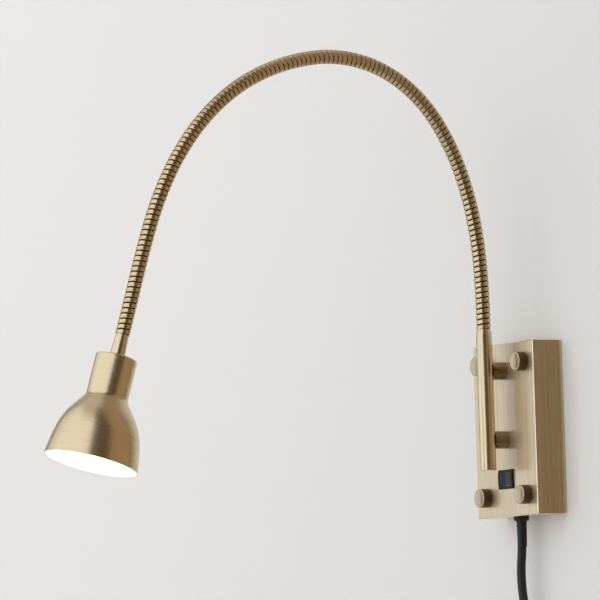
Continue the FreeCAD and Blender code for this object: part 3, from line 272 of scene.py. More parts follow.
def round_axis_brushing(tree, shader, anisotropy, turned):
    """Brush lines along Z blur sideways; turned lines round Z blur along it."""
    tangent = tree.nodes.new("ShaderNodeTangent")
    tangent.direction_type = "RADIAL"
    tangent.axis = "Z"
    tree.links.new(tangent.outputs["Tangent"], shader.inputs["Tangent"])
    shader.inputs["Anisotropic"].default_value = anisotropy
    shader.inputs["Anisotropic Rotation"].default_value = 0.25 if turned else 0.0


def bump(tree, shader, height, depth):
    """Raise the surface by a noise value, depth being the height in metres."""
    node = tree.nodes.new("ShaderNodeBump")
    node.inputs["Distance"].default_value = depth
    tree.links.new(height, node.inputs["Height"])
    tree.links.new(node.outputs["Normal"], shader.inputs["Normal"])


# ---------------------------------------------------------------- materials

def brushed_brass(name, tone, shadow_tone, roughness, grain, grain_depth, streaks=None,
                  anisotropy=0.0, turned=False, lacquer=0.5, lacquer_roughness=0.25):
    """Lacquered antique brass: slow tone changes, streaks, and fine brush lines along one axis."""
    made, tree, shader = new_material(name)
    tones = noise(tree, 45.0, 3.0)
    if streaks:
        tones = mixed(tree, tones, noise(tree, 1.0, 4.0, streaks), 0.7)
    lines = noise(tree, 1.0, 2.0, grain)
    tree.links.new(two_tones(tree, tones, tone, shadow_tone), shader.inputs["Base Color"])
    tree.links.new(spread(tree, lines, roughness * 0.8, roughness * 1.2), shader.inputs["Roughness"])
    bump(tree, shader, lines, grain_depth)
    shader.inputs["Metallic"].default_value = 1.0
    shader.inputs["Coat Weight"].default_value = lacquer
    shader.inputs["Coat Roughness"].default_value = lacquer_roughness
    if anisotropy:
        round_axis_brushing(tree, shader, anisotropy, turned)
    return made


def ribbed_brass(name, tone, shadow_tone, patina_and_shade_tone, edge_tone, roughness):
    """The neck's brass: rubbed bright on the crests, brown patina and painted shade down in the grooves."""
    made, tree, shader = new_material(name)
    wear = noise(tree, 260.0, 3.0)
    depth = tree.nodes.new("ShaderNodeAttribute")
    depth.attribute_name = PATINA_AND_SHADE
    crest = two_tones(tree, wear, tone, shadow_tone)
    # The grooves' dark colour is brown patina deepened with painted shade.
    groove = two_tones(tree, wear, patina_and_shade_tone, tuple(0.7 * part for part in patina_and_shade_tone))
    tree.links.new(mixed(tree, crest, groove, depth.outputs["Fac"]), shader.inputs["Base Color"])
    tree.links.new(spread(tree, wear, roughness * 0.8, roughness * 1.2), shader.inputs["Roughness"])
    bump(tree, shader, wear, 0.000004)
    shader.inputs["Metallic"].default_value = 1.0
    shader.inputs["Specular Tint"].default_value = (*edge_tone, 1.0)
    return made


def plain_metal(name, tone, shadow_tone, roughness):
    """Plated or stamped metal out of sight: a slight mottle."""
    made, tree, shader = new_material(name)
    mottle = noise(tree, 300.0, 3.0)
    tree.links.new(two_tones(tree, mottle, tone, shadow_tone), shader.inputs["Base Color"])
    tree.links.new(spread(tree, mottle, roughness * 0.8, roughness * 1.2), shader.inputs["Roughness"])
    bump(tree, shader, mottle, 0.00002)
    shader.inputs["Metallic"].default_value = 1.0
    return made


def moulded_plastic(name, tone, worn_tone, roughness, depth=0.000015, shine=0.5):
    """Moulded plastic with a fine spark texture, faint handling marks and its own shine."""
    made, tree, shader = new_material(name)
    marks = noise(tree, 120.0, 4.0)
    tree.links.new(two_tones(tree, marks, tone, worn_tone, 0.45, 0.8), shader.inputs["Base Color"])
    tree.links.new(spread(tree, marks, roughness * 0.85, roughness * 1.2), shader.inputs["Roughness"])
    bump(tree, shader, noise(tree, 2500.0, 2.0), depth)
    shader.inputs["Specular IOR Level"].default_value = shine
    return made


def cord_sheath():
    """Soft black PVC, matt, with the faint lay of the cores showing through."""
    made, tree, shader = new_material("cord_sheath")
    dust = noise(tree, 160.0, 4.0)
    tree.links.new(two_tones(tree, dust, (0.010, 0.010, 0.010), (0.020, 0.019, 0.018), 0.4, 0.8),
                   shader.inputs["Base Color"])
    tree.links.new(spread(tree, dust, 0.38, 0.52), shader.inputs["Roughness"])
    bump(tree, shader, noise(tree, 900.0, 2.0), 0.00003)
    shader.inputs["Specular IOR Level"].default_value = 0.3
    return made


def white_lacquer():
    """The shade's inside: warm white lacquer over the spun metal."""
    made, tree, shader = new_material("white_lacquer")
    spun = noise(tree, 1.0, 2.0, (120.0, 120.0, 1800.0))
    tree.links.new(two_tones(tree, spun, (0.80, 0.78, 0.73), (0.84, 0.82, 0.78)),
                   shader.inputs["Base Color"])
    tree.links.new(spread(tree, spun, 0.30, 0.42), shader.inputs["Roughness"])
    bump(tree, shader, spun, 0.00002)
    return made


def lit_glass():
    """The lit bulb: frosted, its glow varying a little with the frost."""
    made, tree, shader = new_material("lit_glass")
    frost = noise(tree, 1500.0, 2.0)
    tree.links.new(two_tones(tree, frost, (0.86, 0.84, 0.80), (0.92, 0.90, 0.86)),
                   shader.inputs["Base Color"])
    bump(tree, shader, frost, 0.00002)
    shader.inputs["Roughness"].default_value = 0.45
    shader.inputs["Emission Color"].default_value = (1.0, 0.84, 0.60, 1.0)
    tree.links.new(spread(tree, frost, 4.6, 5.4), shader.inputs["Emission Strength"])
    return made


def woven_tie():
    """A black nylon strap with a fine weave across it."""
    made, tree, shader = new_material("woven_tie")
    weave = tree.nodes.new("ShaderNodeTexWave")
    place = tree.nodes.new("ShaderNodeTexCoord")
    weave.bands_direction = "Y"
    weave.inputs["Scale"].default_value = 400.0
    weave.inputs["Distortion"].default_value = 0.6
    tree.links.new(place.outputs["Object"], weave.inputs["Vector"])
    tree.links.new(two_tones(tree, weave.outputs["Fac"], (0.012, 0.012, 0.013), (0.035, 0.035, 0.037)),
                   shader.inputs["Base Color"])
    bump(tree, shader, weave.outputs["Fac"], 0.0001)
    shader.inputs["Roughness"].default_value = 0.75
    return made


def painted_stage(name, left_tone, right_tone, left, right):
    """Matt paint that goes from one tone to another across X, open to a camera that looks through it from
    behind.
    """
    made, tree, shader = new_material(name)
    place = tree.nodes.new("ShaderNodeTexCoord")
    parts = tree.nodes.new("ShaderNodeSeparateXYZ")
    across = tree.nodes.new("ShaderNodeMapRange")
    across.inputs["From Min"].default_value = left
    across.inputs["From Max"].default_value = right
    tree.links.new(place.outputs["Object"], parts.inputs["Vector"])
    tree.links.new(parts.outputs["X"], across.inputs["Value"])
    # On the wall this gradient is painted light: lighter to the left, painted shade to the right.
    tree.links.new(two_tones(tree, across.outputs["Result"], left_tone, right_tone, 0.0, 1.0),
                   shader.inputs["Base Color"])
    bump(tree, shader, noise(tree, 350.0, 3.0), 0.00004)
    shader.inputs["Roughness"].default_value = 0.9
    shader.inputs["Specular IOR Level"].default_value = 0.2
    behind = tree.nodes.new("ShaderNodeNewGeometry")
    ray = tree.nodes.new("ShaderNodeLightPath")
    both = tree.nodes.new("ShaderNodeMath")
    both.operation = "MULTIPLY"
    clear = tree.nodes.new("ShaderNodeBsdfTransparent")
    mix = tree.nodes.new("ShaderNodeMixShader")
    tree.links.new(behind.outputs["Backfacing"], both.inputs[0])
    tree.links.new(ray.outputs["Is Camera Ray"], both.inputs[1])
    tree.links.new(both.outputs["Value"], mix.inputs["Fac"])
    tree.links.new(shader.outputs["BSDF"], mix.inputs[1])
    tree.links.new(clear.outputs["BSDF"], mix.inputs[2])
    tree.links.new(mix.outputs["Shader"], tree.nodes["Material Output"].inputs["Surface"])
    return made


def glowing_card(name, tone, strength):
    """An evenly lit or dark card for the metal to mirror."""
    made = bpy.data.materials.new(name)
    made.use_nodes = True
    tree = made.node_tree
    tree.nodes.remove(tree.nodes["Principled BSDF"])
    glow = tree.nodes.new("ShaderNodeEmission")
    glow.inputs["Color"].default_value = (*tone, 1.0)
    glow.inputs["Strength"].default_value = strength
    tree.links.new(glow.outputs["Emission"], tree.nodes["Material Output"].inputs["Surface"])
    return made


# ---------------------------------------------------------------- mesh helpers

def add_piece(name, points, faces, materials, place=None, sharp=30.0, flat=True, patina_and_shade=None):
    """A welded mesh with outward faces, smooth but for its sharp edges."""
    mesh = bpy.data.meshes.new(name)
    mesh.from_pydata([tuple(p) for p in points], [], faces)
    # An optional share for each point of the neck's groove patina and painted shade.
    if patina_and_shade is not None:
        mesh.attributes.new(PATINA_AND_SHADE, "FLOAT", "POINT").data.foreach_set("value", patina_and_shade)
    work = bmesh.new()
    work.from_mesh(mesh)
    bmesh.ops.remove_doubles(work, verts=work.verts, dist=1e-7)
    bmesh.ops.recalc_face_normals(work, faces=work.faces)
    work.to_mesh(mesh)
    work.free()
    for polygon in mesh.polygons:
        polygon.use_smooth = True
    mesh.set_sharp_from_angle(angle=math.radians(sharp))
    for material in materials:
        mesh.materials.append(material)
    piece = bpy.data.objects.new(name, mesh)
    bpy.context.scene.collection.objects.link(piece)
    if place is not None:
        piece.matrix_world = place
    if flat:
        weighted = piece.modifiers.new("flat faces", "WEIGHTED_NORMAL")
        weighted.keep_sharp = True
    return piece


def loft_faces(rings, count, first=0, loop=False):
    """Quads between rings of points, in order."""
    faces = []
    for i in range(rings if loop else rings - 1):
        for j in range(count):
            a = first + i * count
            b = first + (i + 1) % rings * count
            faces.append((a + j, a + (j + 1) % count, b + (j + 1) % count, b + j))
    return faces


def loft(name, rings, materials, loop=False, place=None):
    """A skin through rings of points: a closed loop of rings, or one with its two ends filled."""
    count = len(rings[0])
    faces = loft_faces(len(rings), count, 0, loop)
    if not loop:
        faces.append(tuple(range(count)))
        faces.append(tuple(range((len(rings) - 1) * count, len(rings) * count)))
    return add_piece(name, [p for ring in rings for p in ring], faces, materials, place)


def circle(radius, height, steps=ROUND_STEPS):
    return [Vector((radius * math.cos(2.0 * math.pi * j / steps),
                    radius * math.sin(2.0 * math.pi * j / steps), height)) for j in range(steps)]


def rounded(corners):
    """A closed line of (x, y) corners; a third number rounds that corner with an arc."""
    result = []
    for k, corner in enumerate(corners):
        here = Vector(corner[:2])
        if len(corner) == 2:
            result.append(here)
            continue
        back = (Vector(corners[k - 1][:2]) - here).normalized()
        ahead = (Vector(corners[(k + 1) % len(corners)][:2]) - here).normalized()
        half_turn = (math.pi - back.angle(ahead)) / 2.0
        centre = here + (back + ahead).normalized() * (corner[2] / math.cos(half_turn))
        start = here + back * (corner[2] * math.tan(half_turn)) - centre
        turn = 2.0 * half_turn * (1.0 if back.cross(ahead) < 0.0 else -1.0)
        steps = max(2, math.ceil(abs(turn) / ARC_STEP))
        for step in range(steps + 1):
            result.append(centre + Matrix.Rotation(turn * step / steps, 2) @ start)
    return result


def lathe(name, corners, materials, place=None, steps=ROUND_STEPS):
    """Turn a closed line of (radius, height) corners about Z."""
    rings = [circle(radius, height, steps) for radius, height in rounded(corners)]
    return loft(name, rings, materials, True, place)


def rounded_rectangle(half_x, half_z, radius, steps=6):
    """Points round a rectangle with round corners."""
    points = []
    for corner, (side_x, side_z) in enumerate(((1, 1), (-1, 1), (-1, -1), (1, -1))):
        for k in range(steps + 1):
            angle = math.radians(90.0 * (corner + k / steps))
            points.append((side_x * (half_x - radius) + radius * math.cos(angle),
                           side_z * (half_z - radius) + radius * math.sin(angle)))
    return points


def out_of_wall(x, z):
    """The place of a piece that is built along Z and points away from the wall."""
    return Matrix.Translation((x, 0.0, z)) @ Matrix.Rotation(math.radians(90.0), 4, "X")


# ---------------------------------------------------------------- wall box

def plate_cover(material, worn):
    """The folded cover: its outside with rounded edges rubbed bright, its inside, and the open back."""
    half_x = COVER_HIGH.x
    half_z = COVER_HIGH.z
    rings = []
    inside_front = COVER_WALL - COVER_DEPTH
    for out in (inside_front, 0.0):
        rings.append([(x, out, z) for x, z in
                      rounded_rectangle(half_x - COVER_WALL, half_z - COVER_WALL, COVER_HOLE_EDGE)])
    rings.append([(x, 0.0, z) for x, z in rounded_rectangle(half_x, half_z, COVER_EDGE)])
    steps = 6
    for k in range(steps + 1):
        angle = math.radians(90.0 * k / steps)
        inset = COVER_EDGE * (1.0 - math.cos(angle))
        out = -(COVER_DEPTH - COVER_EDGE) - COVER_EDGE * math.sin(angle)
        rings.append([(x, out, z) for x, z in
                      rounded_rectangle(half_x - inset, half_z - inset, COVER_EDGE - inset)])
    piece = loft("cover_shell", rings, [material, worn])
    nearly_flat = math.cos(math.radians(10.0))
    for polygon in piece.data.polygons:
        if max(abs(part) for part in polygon.normal) < nearly_flat:
            polygon.material_index = 1
    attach(piece, "wall_unit")
    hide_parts("plate_cover")


def triangle_wave(value):
    """0 at whole numbers, 1 halfway between them."""
    return 1.0 - abs(2.0 * (value % 1.0) - 1.0)


def knurled_nut(name, x, z, materials):
    """A blind nut with a diamond knurl round its side and a turned face."""
    around = NUT_KNURLS * POINTS_PER_KNURL
    pitch = 2.0 * math.pi * NUT_RADIUS / NUT_KNURLS
    base = COVER_DEPTH
    top = COVER_DEPTH + NUT_HEIGHT
    knurl_low = base + KNURL_START
    knurl_high = top - KNURL_STOP
    bore_end = base + NUT_BORE_DEPTH
    rings = [circle(0.0, bore_end, around), circle(NUT_BORE_RADIUS, bore_end, around),
             circle(NUT_BORE_RADIUS, base, around), circle(NUT_RADIUS - NUT_BASE_INSET, base, around),
             circle(NUT_RADIUS - KNURL_DEPTH, knurl_low, around)]
    for row in range(KNURL_ROWS + 1):
        height = knurl_low + (knurl_high - knurl_low) * row / KNURL_ROWS
        ring = []
        for j in range(around):
            turn = j / around * NUT_KNURLS
            rise = (height - base) / pitch
            point = min(triangle_wave(turn + rise), triangle_wave(turn - rise))
            radius = NUT_RADIUS - KNURL_DEPTH * (1.0 - point)
            angle = 2.0 * math.pi * j / around
            ring.append(Vector((radius * math.cos(angle), radius * math.sin(angle), height)))
        rings.append(ring)
    rim_steps = 5
    for step in range(rim_steps + 1):
        angle = math.radians(90.0 * step / rim_steps)
        rings.append(circle(NUT_RADIUS - NUT_RIM * (1.0 - math.cos(angle)),
                            top - NUT_RIM * (1.0 - math.sin(angle)), around))
    rings += [circle(NUT_RADIUS - NUT_FACE_EDGE, top, around),
              circle(NUT_RADIUS - NUT_FACE_INSET, top - NUT_FACE_DEPTH, around),
              circle(0.0, top - NUT_FACE_DEPTH, around)]
    piece = loft(name, rings, materials, True, out_of_wall(x, z))
    for polygon in piece.data.polygons:
        if polygon.center.z > top - NUT_RIM:
            polygon.material_index = 1
    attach(piece, "wall_unit")
    return piece


def nuts(side, face):
    made = [knurled_nut("knurled_nut_%d" % (k + 1), x, z, [side, face])
            for k, (x, z) in enumerate(NUT_PLACES)]
    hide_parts("knurled_nuts")


# ---------------------------------------------------------------- stem

def stem(material):
    """The tube, its end cap with a groove, and the ferrule that tapers into the neck."""
    axis = Matrix.Translation((0.0, -STEM_OUT, 0.0))
    edge = JOINT_EDGE
    tube = lathe("stem_barrel", [(STEM_BORE, STEM_BOTTOM), (STEM_RADIUS, STEM_BOTTOM, edge),
                                 (STEM_RADIUS, STEM_TOP, edge), (STEM_BORE, STEM_TOP)], [material], axis)
    groove_low = STEM_BOTTOM - CAP_GROOVE_DROP - CAP_GROOVE_HALF
    groove_high = STEM_BOTTOM - CAP_GROOVE_DROP + CAP_GROOVE_HALF
    groove_radius = STEM_RADIUS - CAP_GROOVE_DEPTH
    cap = lathe("stem_cap", [(0.0, END_CAP_BOTTOM), (STEM_RADIUS, END_CAP_BOTTOM, END_CAP_EDGE),
                             (STEM_RADIUS, groove_low, CAP_GROOVE_EDGE), (groove_radius, groove_low),
                             (groove_radius, groove_high), (STEM_RADIUS, groove_high, CAP_GROOVE_EDGE),
                             (STEM_RADIUS, STEM_BOTTOM, edge), (STEM_BORE, STEM_BOTTOM),
                             (STEM_BORE, STEM_BOTTOM + END_CAP_SPIGOT), (0.0, STEM_BOTTOM + END_CAP_SPIGOT)],
                [material], axis)
    top = NECK_START
    ferrule = lathe("ferrule_low", [(FERRULE_BORE, STEM_TOP - LOW_FERRULE_TENON),
                                    (STEM_BORE, STEM_TOP - LOW_FERRULE_TENON),
                                    (STEM_BORE, STEM_TOP), (STEM_RADIUS, STEM_TOP, edge),
                                    (LOW_FERRULE_WAIST, top - 0.0032, 0.0020),
                                    (LOW_FERRULE_TIP, top - 0.0009, 0.0003), (LOW_FERRULE_TIP, top, edge),
                                    (SPIGOT_RADIUS, top), (SPIGOT_RADIUS, top + SPIGOT_LENGTH),
                                    (FERRULE_BORE, top + SPIGOT_LENGTH)], [material], axis)
    for piece, node in ((tube, "stem_tube"), (cap, "stem_end_cap"), (ferrule, "neck_ferrule_lower")):
        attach(piece, "wall_unit")
        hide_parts(node)


# ---------------------------------------------------------------- gooseneck

def segment_length(index):
    ribs = RIBS_PER_SEGMENT + (1 if index in (0, len(NECK_TURNS) - 1) else 0)
    return ribs * RIB_PITCH


def neck_runs():
    """The centreline as (length, turn in degrees): fourteen arcs between two straight ends."""
    runs = [[segment_length(index), turn] for index, turn in enumerate(NECK_TURNS)]
    runs[0][0] -= NECK_STRAIGHT
    runs[-1][0] -= NECK_STRAIGHT
    return [(NECK_STRAIGHT, 0.0)] + [tuple(run) for run in runs] + [(NECK_STRAIGHT, 0.0)]


NECK_RUNS = neck_runs()
NECK_LENGTH = sum(run[0] for run in NECK_RUNS)


def neck_place(station):
    """The centreline's point and its angle from straight up towards the room."""
    y = -STEM_OUT
    z = NECK_START
    heading = 0.0
    left = station
    for number, (length, turn) in enumerate(NECK_RUNS):
        last = number == len(NECK_RUNS) - 1
        step = left if last else min(left, length)
        if turn == 0.0:
            y -= step * math.sin(heading)
            z += step * math.cos(heading)
        else:
            radius = length / math.radians(turn)
            after = heading + step / radius
            y += radius * (math.cos(after) - math.cos(heading))
            z += radius * (math.sin(after) - math.sin(heading))
            heading = after
        left -= step
        if left <= 0.0:
            break
    return Vector((0.0, y, z)), heading


def rib_radius(phase):
    """The ribs' outline: slightly domed crests with a narrow rounded groove between them."""
    off = min(phase % RIB_PITCH, RIB_PITCH - phase % RIB_PITCH)
    groove = math.exp(-(off / RIB_GROOVE_HALF) ** 2)
    crown = (1.0 - 2.0 * off / RIB_PITCH) ** 2
    return RIB_CREST - RIB_DEPTH * groove - RIB_CROWN * crown


def patina_and_shade_share(radius):
    """How much patina and painted shade a point of the neck has at its distance from the centreline."""
    return min(1.0, max(0.0, (RIB_CREST - radius) / RIB_DEPTH - PATINA_AND_SHADE_FROM)) ** 0.5


def neck_skin(name, start, end, material):
    """Ribs wound in a helix round the centreline between two stations, with the bore inside."""
    columns = 48
    shares = (0.0, 0.045, 0.09, 0.14, 0.20, 0.30, 0.5, 0.70, 0.80, 0.86, 0.91, 0.955)
    per_turn = len(shares)
    first_turn = math.floor(start / RIB_PITCH) - 1
    last_turn = math.ceil(end / RIB_PITCH) + 1

    points = []
    patina_and_shade = []

    def ring_point(station, column, radius):
        point, heading = neck_place(station)
        angle = 2.0 * math.pi * column / columns
        across = Vector((0.0, math.cos(heading), math.sin(heading)))
        points.append(point + Vector((1.0, 0.0, 0.0)) * radius * math.cos(angle)
                      + across * radius * math.sin(angle))
        # Each point keeps its depth in the groove, which sets its patina and painted shade.
        patina_and_shade.append(patina_and_shade_share(radius))

    def outer_point(station, column):
        station = min(max(station, start), end)
        ring_point(station, column, rib_radius(station - RIB_PITCH * column / columns))

    rows = [turn * RIB_PITCH + share * RIB_PITCH
            for turn in range(first_turn, last_turn + 1) for share in shares]
    for row in rows:
        for j in range(columns):
            outer_point(row + RIB_PITCH * j / columns, j)
    faces = []
    for i in range(len(rows) - per_turn - 1):
        for j in range(columns):
            near = i * columns + j
            if j < columns - 1:
                far = near + 1
            else:
                far = (i + per_turn) * columns
            faces.append((near, far, far + columns, near + columns))
    inner_steps = max(2, round((end - start) / 0.003))
    inner = [end + (start - end) * k / inner_steps for k in range(inner_steps + 1)]
    first = len(points)
    for j in range(columns):
        outer_point(end, j)
    for station in inner:
        for j in range(columns):
            ring_point(station, j, NECK_BORE)
    for j in range(columns):
        outer_point(start, j)
    faces += loft_faces(len(inner) + 2, columns, first)
    return add_piece(name, points, faces, [material], None, 60.0, False, patina_and_shade)


def gooseneck(material):
    """One skin from the ferrule to the first hinge's near side, one over each hinge, and one to the head."""
    hinges = []
    station = 0.0
    for index in range(len(NECK_TURNS) - 1):
        station += segment_length(index)
        hinges.append(station)
    cuts = [0.0] + [hinge - RIB_PITCH * RIBS_PER_SEGMENT / 2.0 for hinge in hinges]
    cuts += [hinges[-1] + RIB_PITCH * RIBS_PER_SEGMENT / 2.0, NECK_LENGTH]
    reach = RIB_PITCH * RIBS_PER_SEGMENT * BLEND_REACH
    for k, (start, end) in enumerate(zip(cuts, cuts[1:])):
        skin = neck_skin("neck_ribs_%02d" % (k + 1), start, end, material)
        if k == 0:
            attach(skin, "wall_unit")
        elif k == len(cuts) - 2:
            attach(skin, "head")
            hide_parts("neck_segment_14")
        else:
            hinge = hinges[k - 1]
            neck_place(hinge - reach)[0]
            neck_place(hinge + reach)[0]
            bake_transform(skin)
            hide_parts("neck_segment_%02d" % k)


# ---------------------------------------------------------------- head

HEAD_POINT, HEAD_TILT = neck_place(NECK_LENGTH)
ON_HEAD = Matrix.Translation(HEAD_POINT) @ Matrix.Rotation(HEAD_TILT, 4, "X")


def shade_side(offset):
    """The bell's side from the cap to the rim as (radius, height), moved in by an offset."""
    radius = SHADE_CAP_RADIUS - offset
    height = FERRULE_LENGTH + SHADE_CAP_LENGTH
    angle = 0.0
    points = [(radius, height)]
    for bend, target in ((-SHADE_FLARE_BEND - offset, SHADE_FLARE_ANGLE), (None, SHADE_CONE_LENGTH),
                         (SHADE_BELLY_BEND - offset, SHADE_BELLY_ANGLE),
                         (SHADE_SKIRT_BEND - offset, SHADE_SKIRT_ANGLE), (None, SHADE_RIM_LENGTH)):
        if bend is None:
            radius += target * math.sin(angle)
            height += target * math.cos(angle)
            points.append((radius, height))
            continue
        steps = max(4, math.ceil(abs(target - angle) / math.radians(2.5)))
        for k in range(1, steps + 1):
            now = angle + (target - angle) * k / steps
            points.append((radius + bend * (math.cos(now) - math.cos(angle)),
                           height + bend * (math.sin(angle) - math.sin(now))))
        radius, height = points[-1]
        angle = target
    return points


def shade(outside, inside):
    """The spun shell, brass outside and white inside, with a rounded rim."""
    outer = shade_side(0.0)
    inner = shade_side(SHADE_WALL)
    roof = FERRULE_LENGTH + SHADE_WALL
    corners = [(SHADE_HOLE_RADIUS, FERRULE_LENGTH), (SHADE_CAP_RADIUS, FERRULE_LENGTH, SHADE_CAP_EDGE)]
    corners += outer[:-1]
    corners += [(*outer[-1], SHADE_RIM_EDGE), (*inner[-1], SHADE_RIM_EDGE)]
    corners += list(reversed(inner[:-1]))
    corners += [(SHADE_CAP_RADIUS - SHADE_WALL, roof, SHADE_CAP_EDGE - SHADE_WALL), (SHADE_HOLE_RADIUS, roof)]
    piece = lathe("shade_bell", corners, [outside, inside], ON_HEAD, SHADE_STEPS)
    for polygon in piece.data.polygons:
        middle = polygon.center
        outward = Vector((middle.x, middle.y, 0.0)).normalized()
        inner_face = polygon.normal.dot(outward) < -0.2 and middle.z > roof
        if inner_face or (middle.z > roof - 0.0001 and polygon.normal.z > 0.9
                          and middle.xy.length < SHADE_CAP_RADIUS):
            polygon.material_index = 1
    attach(piece, "head")
    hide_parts("shade")


def upper_ferrule(material):
    """The ferrule that tapers from the neck out to the shade, with the head's thread in its end."""
    end = FERRULE_LENGTH
    piece = lathe("ferrule_high", [(FERRULE_BORE, -SPIGOT_LENGTH), (SPIGOT_RADIUS, -SPIGOT_LENGTH),
                                   (SPIGOT_RADIUS, 0.0), (FERRULE_THIN, 0.0, JOINT_EDGE),
                                   (FERRULE_THICK, end, JOINT_EDGE), (HEAD_THREAD_RADIUS, end),
                                   (HEAD_THREAD_RADIUS, end - HEAD_THREAD_DEPTH),
                                   (FERRULE_BORE, end - HEAD_THREAD_DEPTH)], [material], ON_HEAD)
    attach(piece, "head")
    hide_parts("neck_ferrule_upper")


# ---------------------------------------------------------------- cord, gland, coil and plug

COIL_CENTRE = (-0.0053, -0.2274)
COIL_MEAN_RADIUS = 0.0364
COIL_START = math.radians(30.0)
COIL_LAYERS = 4
COIL_TURNS = 7.0 + 30.0 / 360.0
COIL_TURN_STEP = 0.0075
COIL_LAYER_STEP = 0.0076
COIL_FIRST_OUT = 0.0060
COIL_POINTS_PER_TURN = 24

TIE_HALF_WIDTH = 0.0040
TIE_THICKNESS = 0.0012
TIE_EDGE = 0.0003
TIE_GAP = 0.0005                     # between the strap and the turns
TIE_ANGLE = math.radians(125.0)

PLUG_SLEEVE_RADIUS = 0.0046
PLUG_SLEEVE_FLARE = 0.0019
PLUG_SLEEVE_LENGTH = 0.024
PLUG_RIBS = 6
PLUG_RIB_PITCH = 0.0034
PLUG_RIB_DEPTH = 0.0009


def coil_point(turns, swell):
    """The coil's centreline after some turns: in and out in layers, climbing at each reversal."""
    per_layer = COIL_TURNS / COIL_LAYERS
    phase = turns / per_layer
    swing = phase % 2.0
    ramp = 1.0 - swing if swing <= 1.0 else swing - 1.0
    layer = min(int(phase), COIL_LAYERS - 1)
    nearest = round(phase)
    climb = 0.0
    half_climb = 0.25 / per_layer
    if 0 < nearest < COIL_LAYERS and abs(phase - nearest) < half_climb:
        part = (phase - nearest + half_climb) / (2.0 * half_climb)
        layer = nearest - 1
        climb = part * part * (3.0 - 2.0 * part)
    radius = (COIL_MEAN_RADIUS + (ramp - 0.5) * per_layer * COIL_TURN_STEP) * swell
    out = COIL_FIRST_OUT + (layer + climb) * COIL_LAYER_STEP
    angle = COIL_START - 2.0 * math.pi * turns
    return Vector((COIL_CENTRE[0] + radius * math.cos(angle), -out,
                   COIL_CENTRE[1] + radius * math.sin(angle)))


def cord_points():
    """The hanging run, the coil's turns, and the tail down to the plug."""
    into_coil = Vector((math.sin(COIL_START), 0.0, -math.cos(COIL_START)))
    coil_start = coil_point(0.0, 1.0) - into_coil * 0.007
    points = [Vector(CORD_EXIT), Vector((0.0, -0.0140, -0.0909)), Vector((-0.0042, -0.0140, -0.1120)),
              Vector((-0.0010, -0.0132, -0.1420)), coil_start - into_coil * 0.030, coil_start]
    swell = 1.0 / math.cos(math.pi / COIL_POINTS_PER_TURN)
    count = round(COIL_TURNS * COIL_POINTS_PER_TURN)
    points += [coil_point(COIL_TURNS * k / count, swell) for k in range(count + 1)]
    last = coil_point(COIL_TURNS, 1.0)
    points += [last + Vector((0.0, 0.0, -drop)) for drop in (0.012, 0.030, 0.050)]
    return points


def mains_cord(material, with_pieces):
    points = cord_points()
    curve = bpy.data.curves.new("mains_cord", "CURVE")
    curve.dimensions = "3D"
    spline = curve.splines.new("NURBS")
    spline.points.add(len(points) - 1)
    for control, point in zip(spline.points, points):
        control.co = (*point, 1.0)
    spline.order_u = 3
    spline.use_endpoint_u = True
    spline.resolution_u = 6
    curve.bevel_depth = CORD_DIAMETER / 2.0
    curve.bevel_resolution = 6
    curve.use_fill_caps = True
    curve.materials.append(material)
    cord = bpy.data.objects.new("mains_cord", curve)
    bpy.context.scene.collection.objects.link(cord)
    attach(cord, "wall_unit")
    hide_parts("cord_free", "cord_coil")


def gland(material):
    """The strain relief: a rounded flange under the cover and a tapered sleeve round the cord."""
    exit_z = CORD_EXIT[2]
    floor = COVER_LOW.z
    inside = floor + COVER_WALL
    sleeve_end = exit_z - GLAND_SLEEVE_LENGTH
    barb_end = inside + GLAND_BARB_LENGTH
    bore = CORD_DIAMETER / 2.0 + 0.00005
    piece = lathe("gland_moulding", [(0.0, exit_z), (bore, exit_z), (bore, sleeve_end),
                                     (GLAND_SLEEVE_END, sleeve_end, 0.00005),
                                     (GLAND_SLEEVE_TOP, exit_z, 0.0006),
                                     (GLAND_FLANGE_RADIUS, exit_z, GLAND_FLANGE_ROUND),
                                     (GLAND_FLANGE_RADIUS, floor, 0.0004),
                                     (GLAND_NECK_RADIUS, floor), (GLAND_NECK_RADIUS, inside),
                                     (GLAND_BARB_RADIUS, inside), (GLAND_BARB_END, barb_end),
                                     (0.0, barb_end)],
                  [material], Matrix.Translation((CORD_EXIT[0], CORD_EXIT[1], 0.0)))
    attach(piece, "wall_unit")
    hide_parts("cord_gland")
    return piece


def plug(material):
    """A round moulded plug: a ribbed sleeve, a shoulder, and a body with a finger groove."""
    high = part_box("plug_body")[1]
    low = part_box("plug_body")[0]
    top = Vector(((low.x + high.x) / 2.0, (low.y + high.y) / 2.0, high.z))
    place = Matrix.Translation(top) @ Matrix.Rotation(math.pi, 4, "X")
    corners = [(0.0, 0.0), (PLUG_SLEEVE_RADIUS, 0.0, 0.0008)]
    for k in range(PLUG_RIBS):
        height = 0.0030 + k * PLUG_RIB_PITCH
        radius = PLUG_SLEEVE_RADIUS + PLUG_SLEEVE_FLARE * (height + 0.0012) / PLUG_SLEEVE_LENGTH
        groove = radius - PLUG_RIB_DEPTH
        corners += [(radius, height, 0.0003), (groove, height + 0.0004, 0.0002),
                    (groove, height + 0.0014, 0.0002), (radius, height + 0.0018, 0.0003)]
    corners += [(0.0065, 0.0240, 0.0030), (0.0170, 0.0330, 0.0020), (0.0185, 0.0350, 0.0012),
                (0.0185, 0.0395, 0.0006), (0.0178, 0.0405, 0.0008), (0.0178, 0.0445, 0.0008),
                (0.0185, 0.0455, 0.0006), (0.0185, 0.0520, 0.0010), (0.0, 0.0520)]
    piece = lathe("plug_moulding", corners, [material], place)
    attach(piece, "wall_unit")
    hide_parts("plug_body")
    return piece


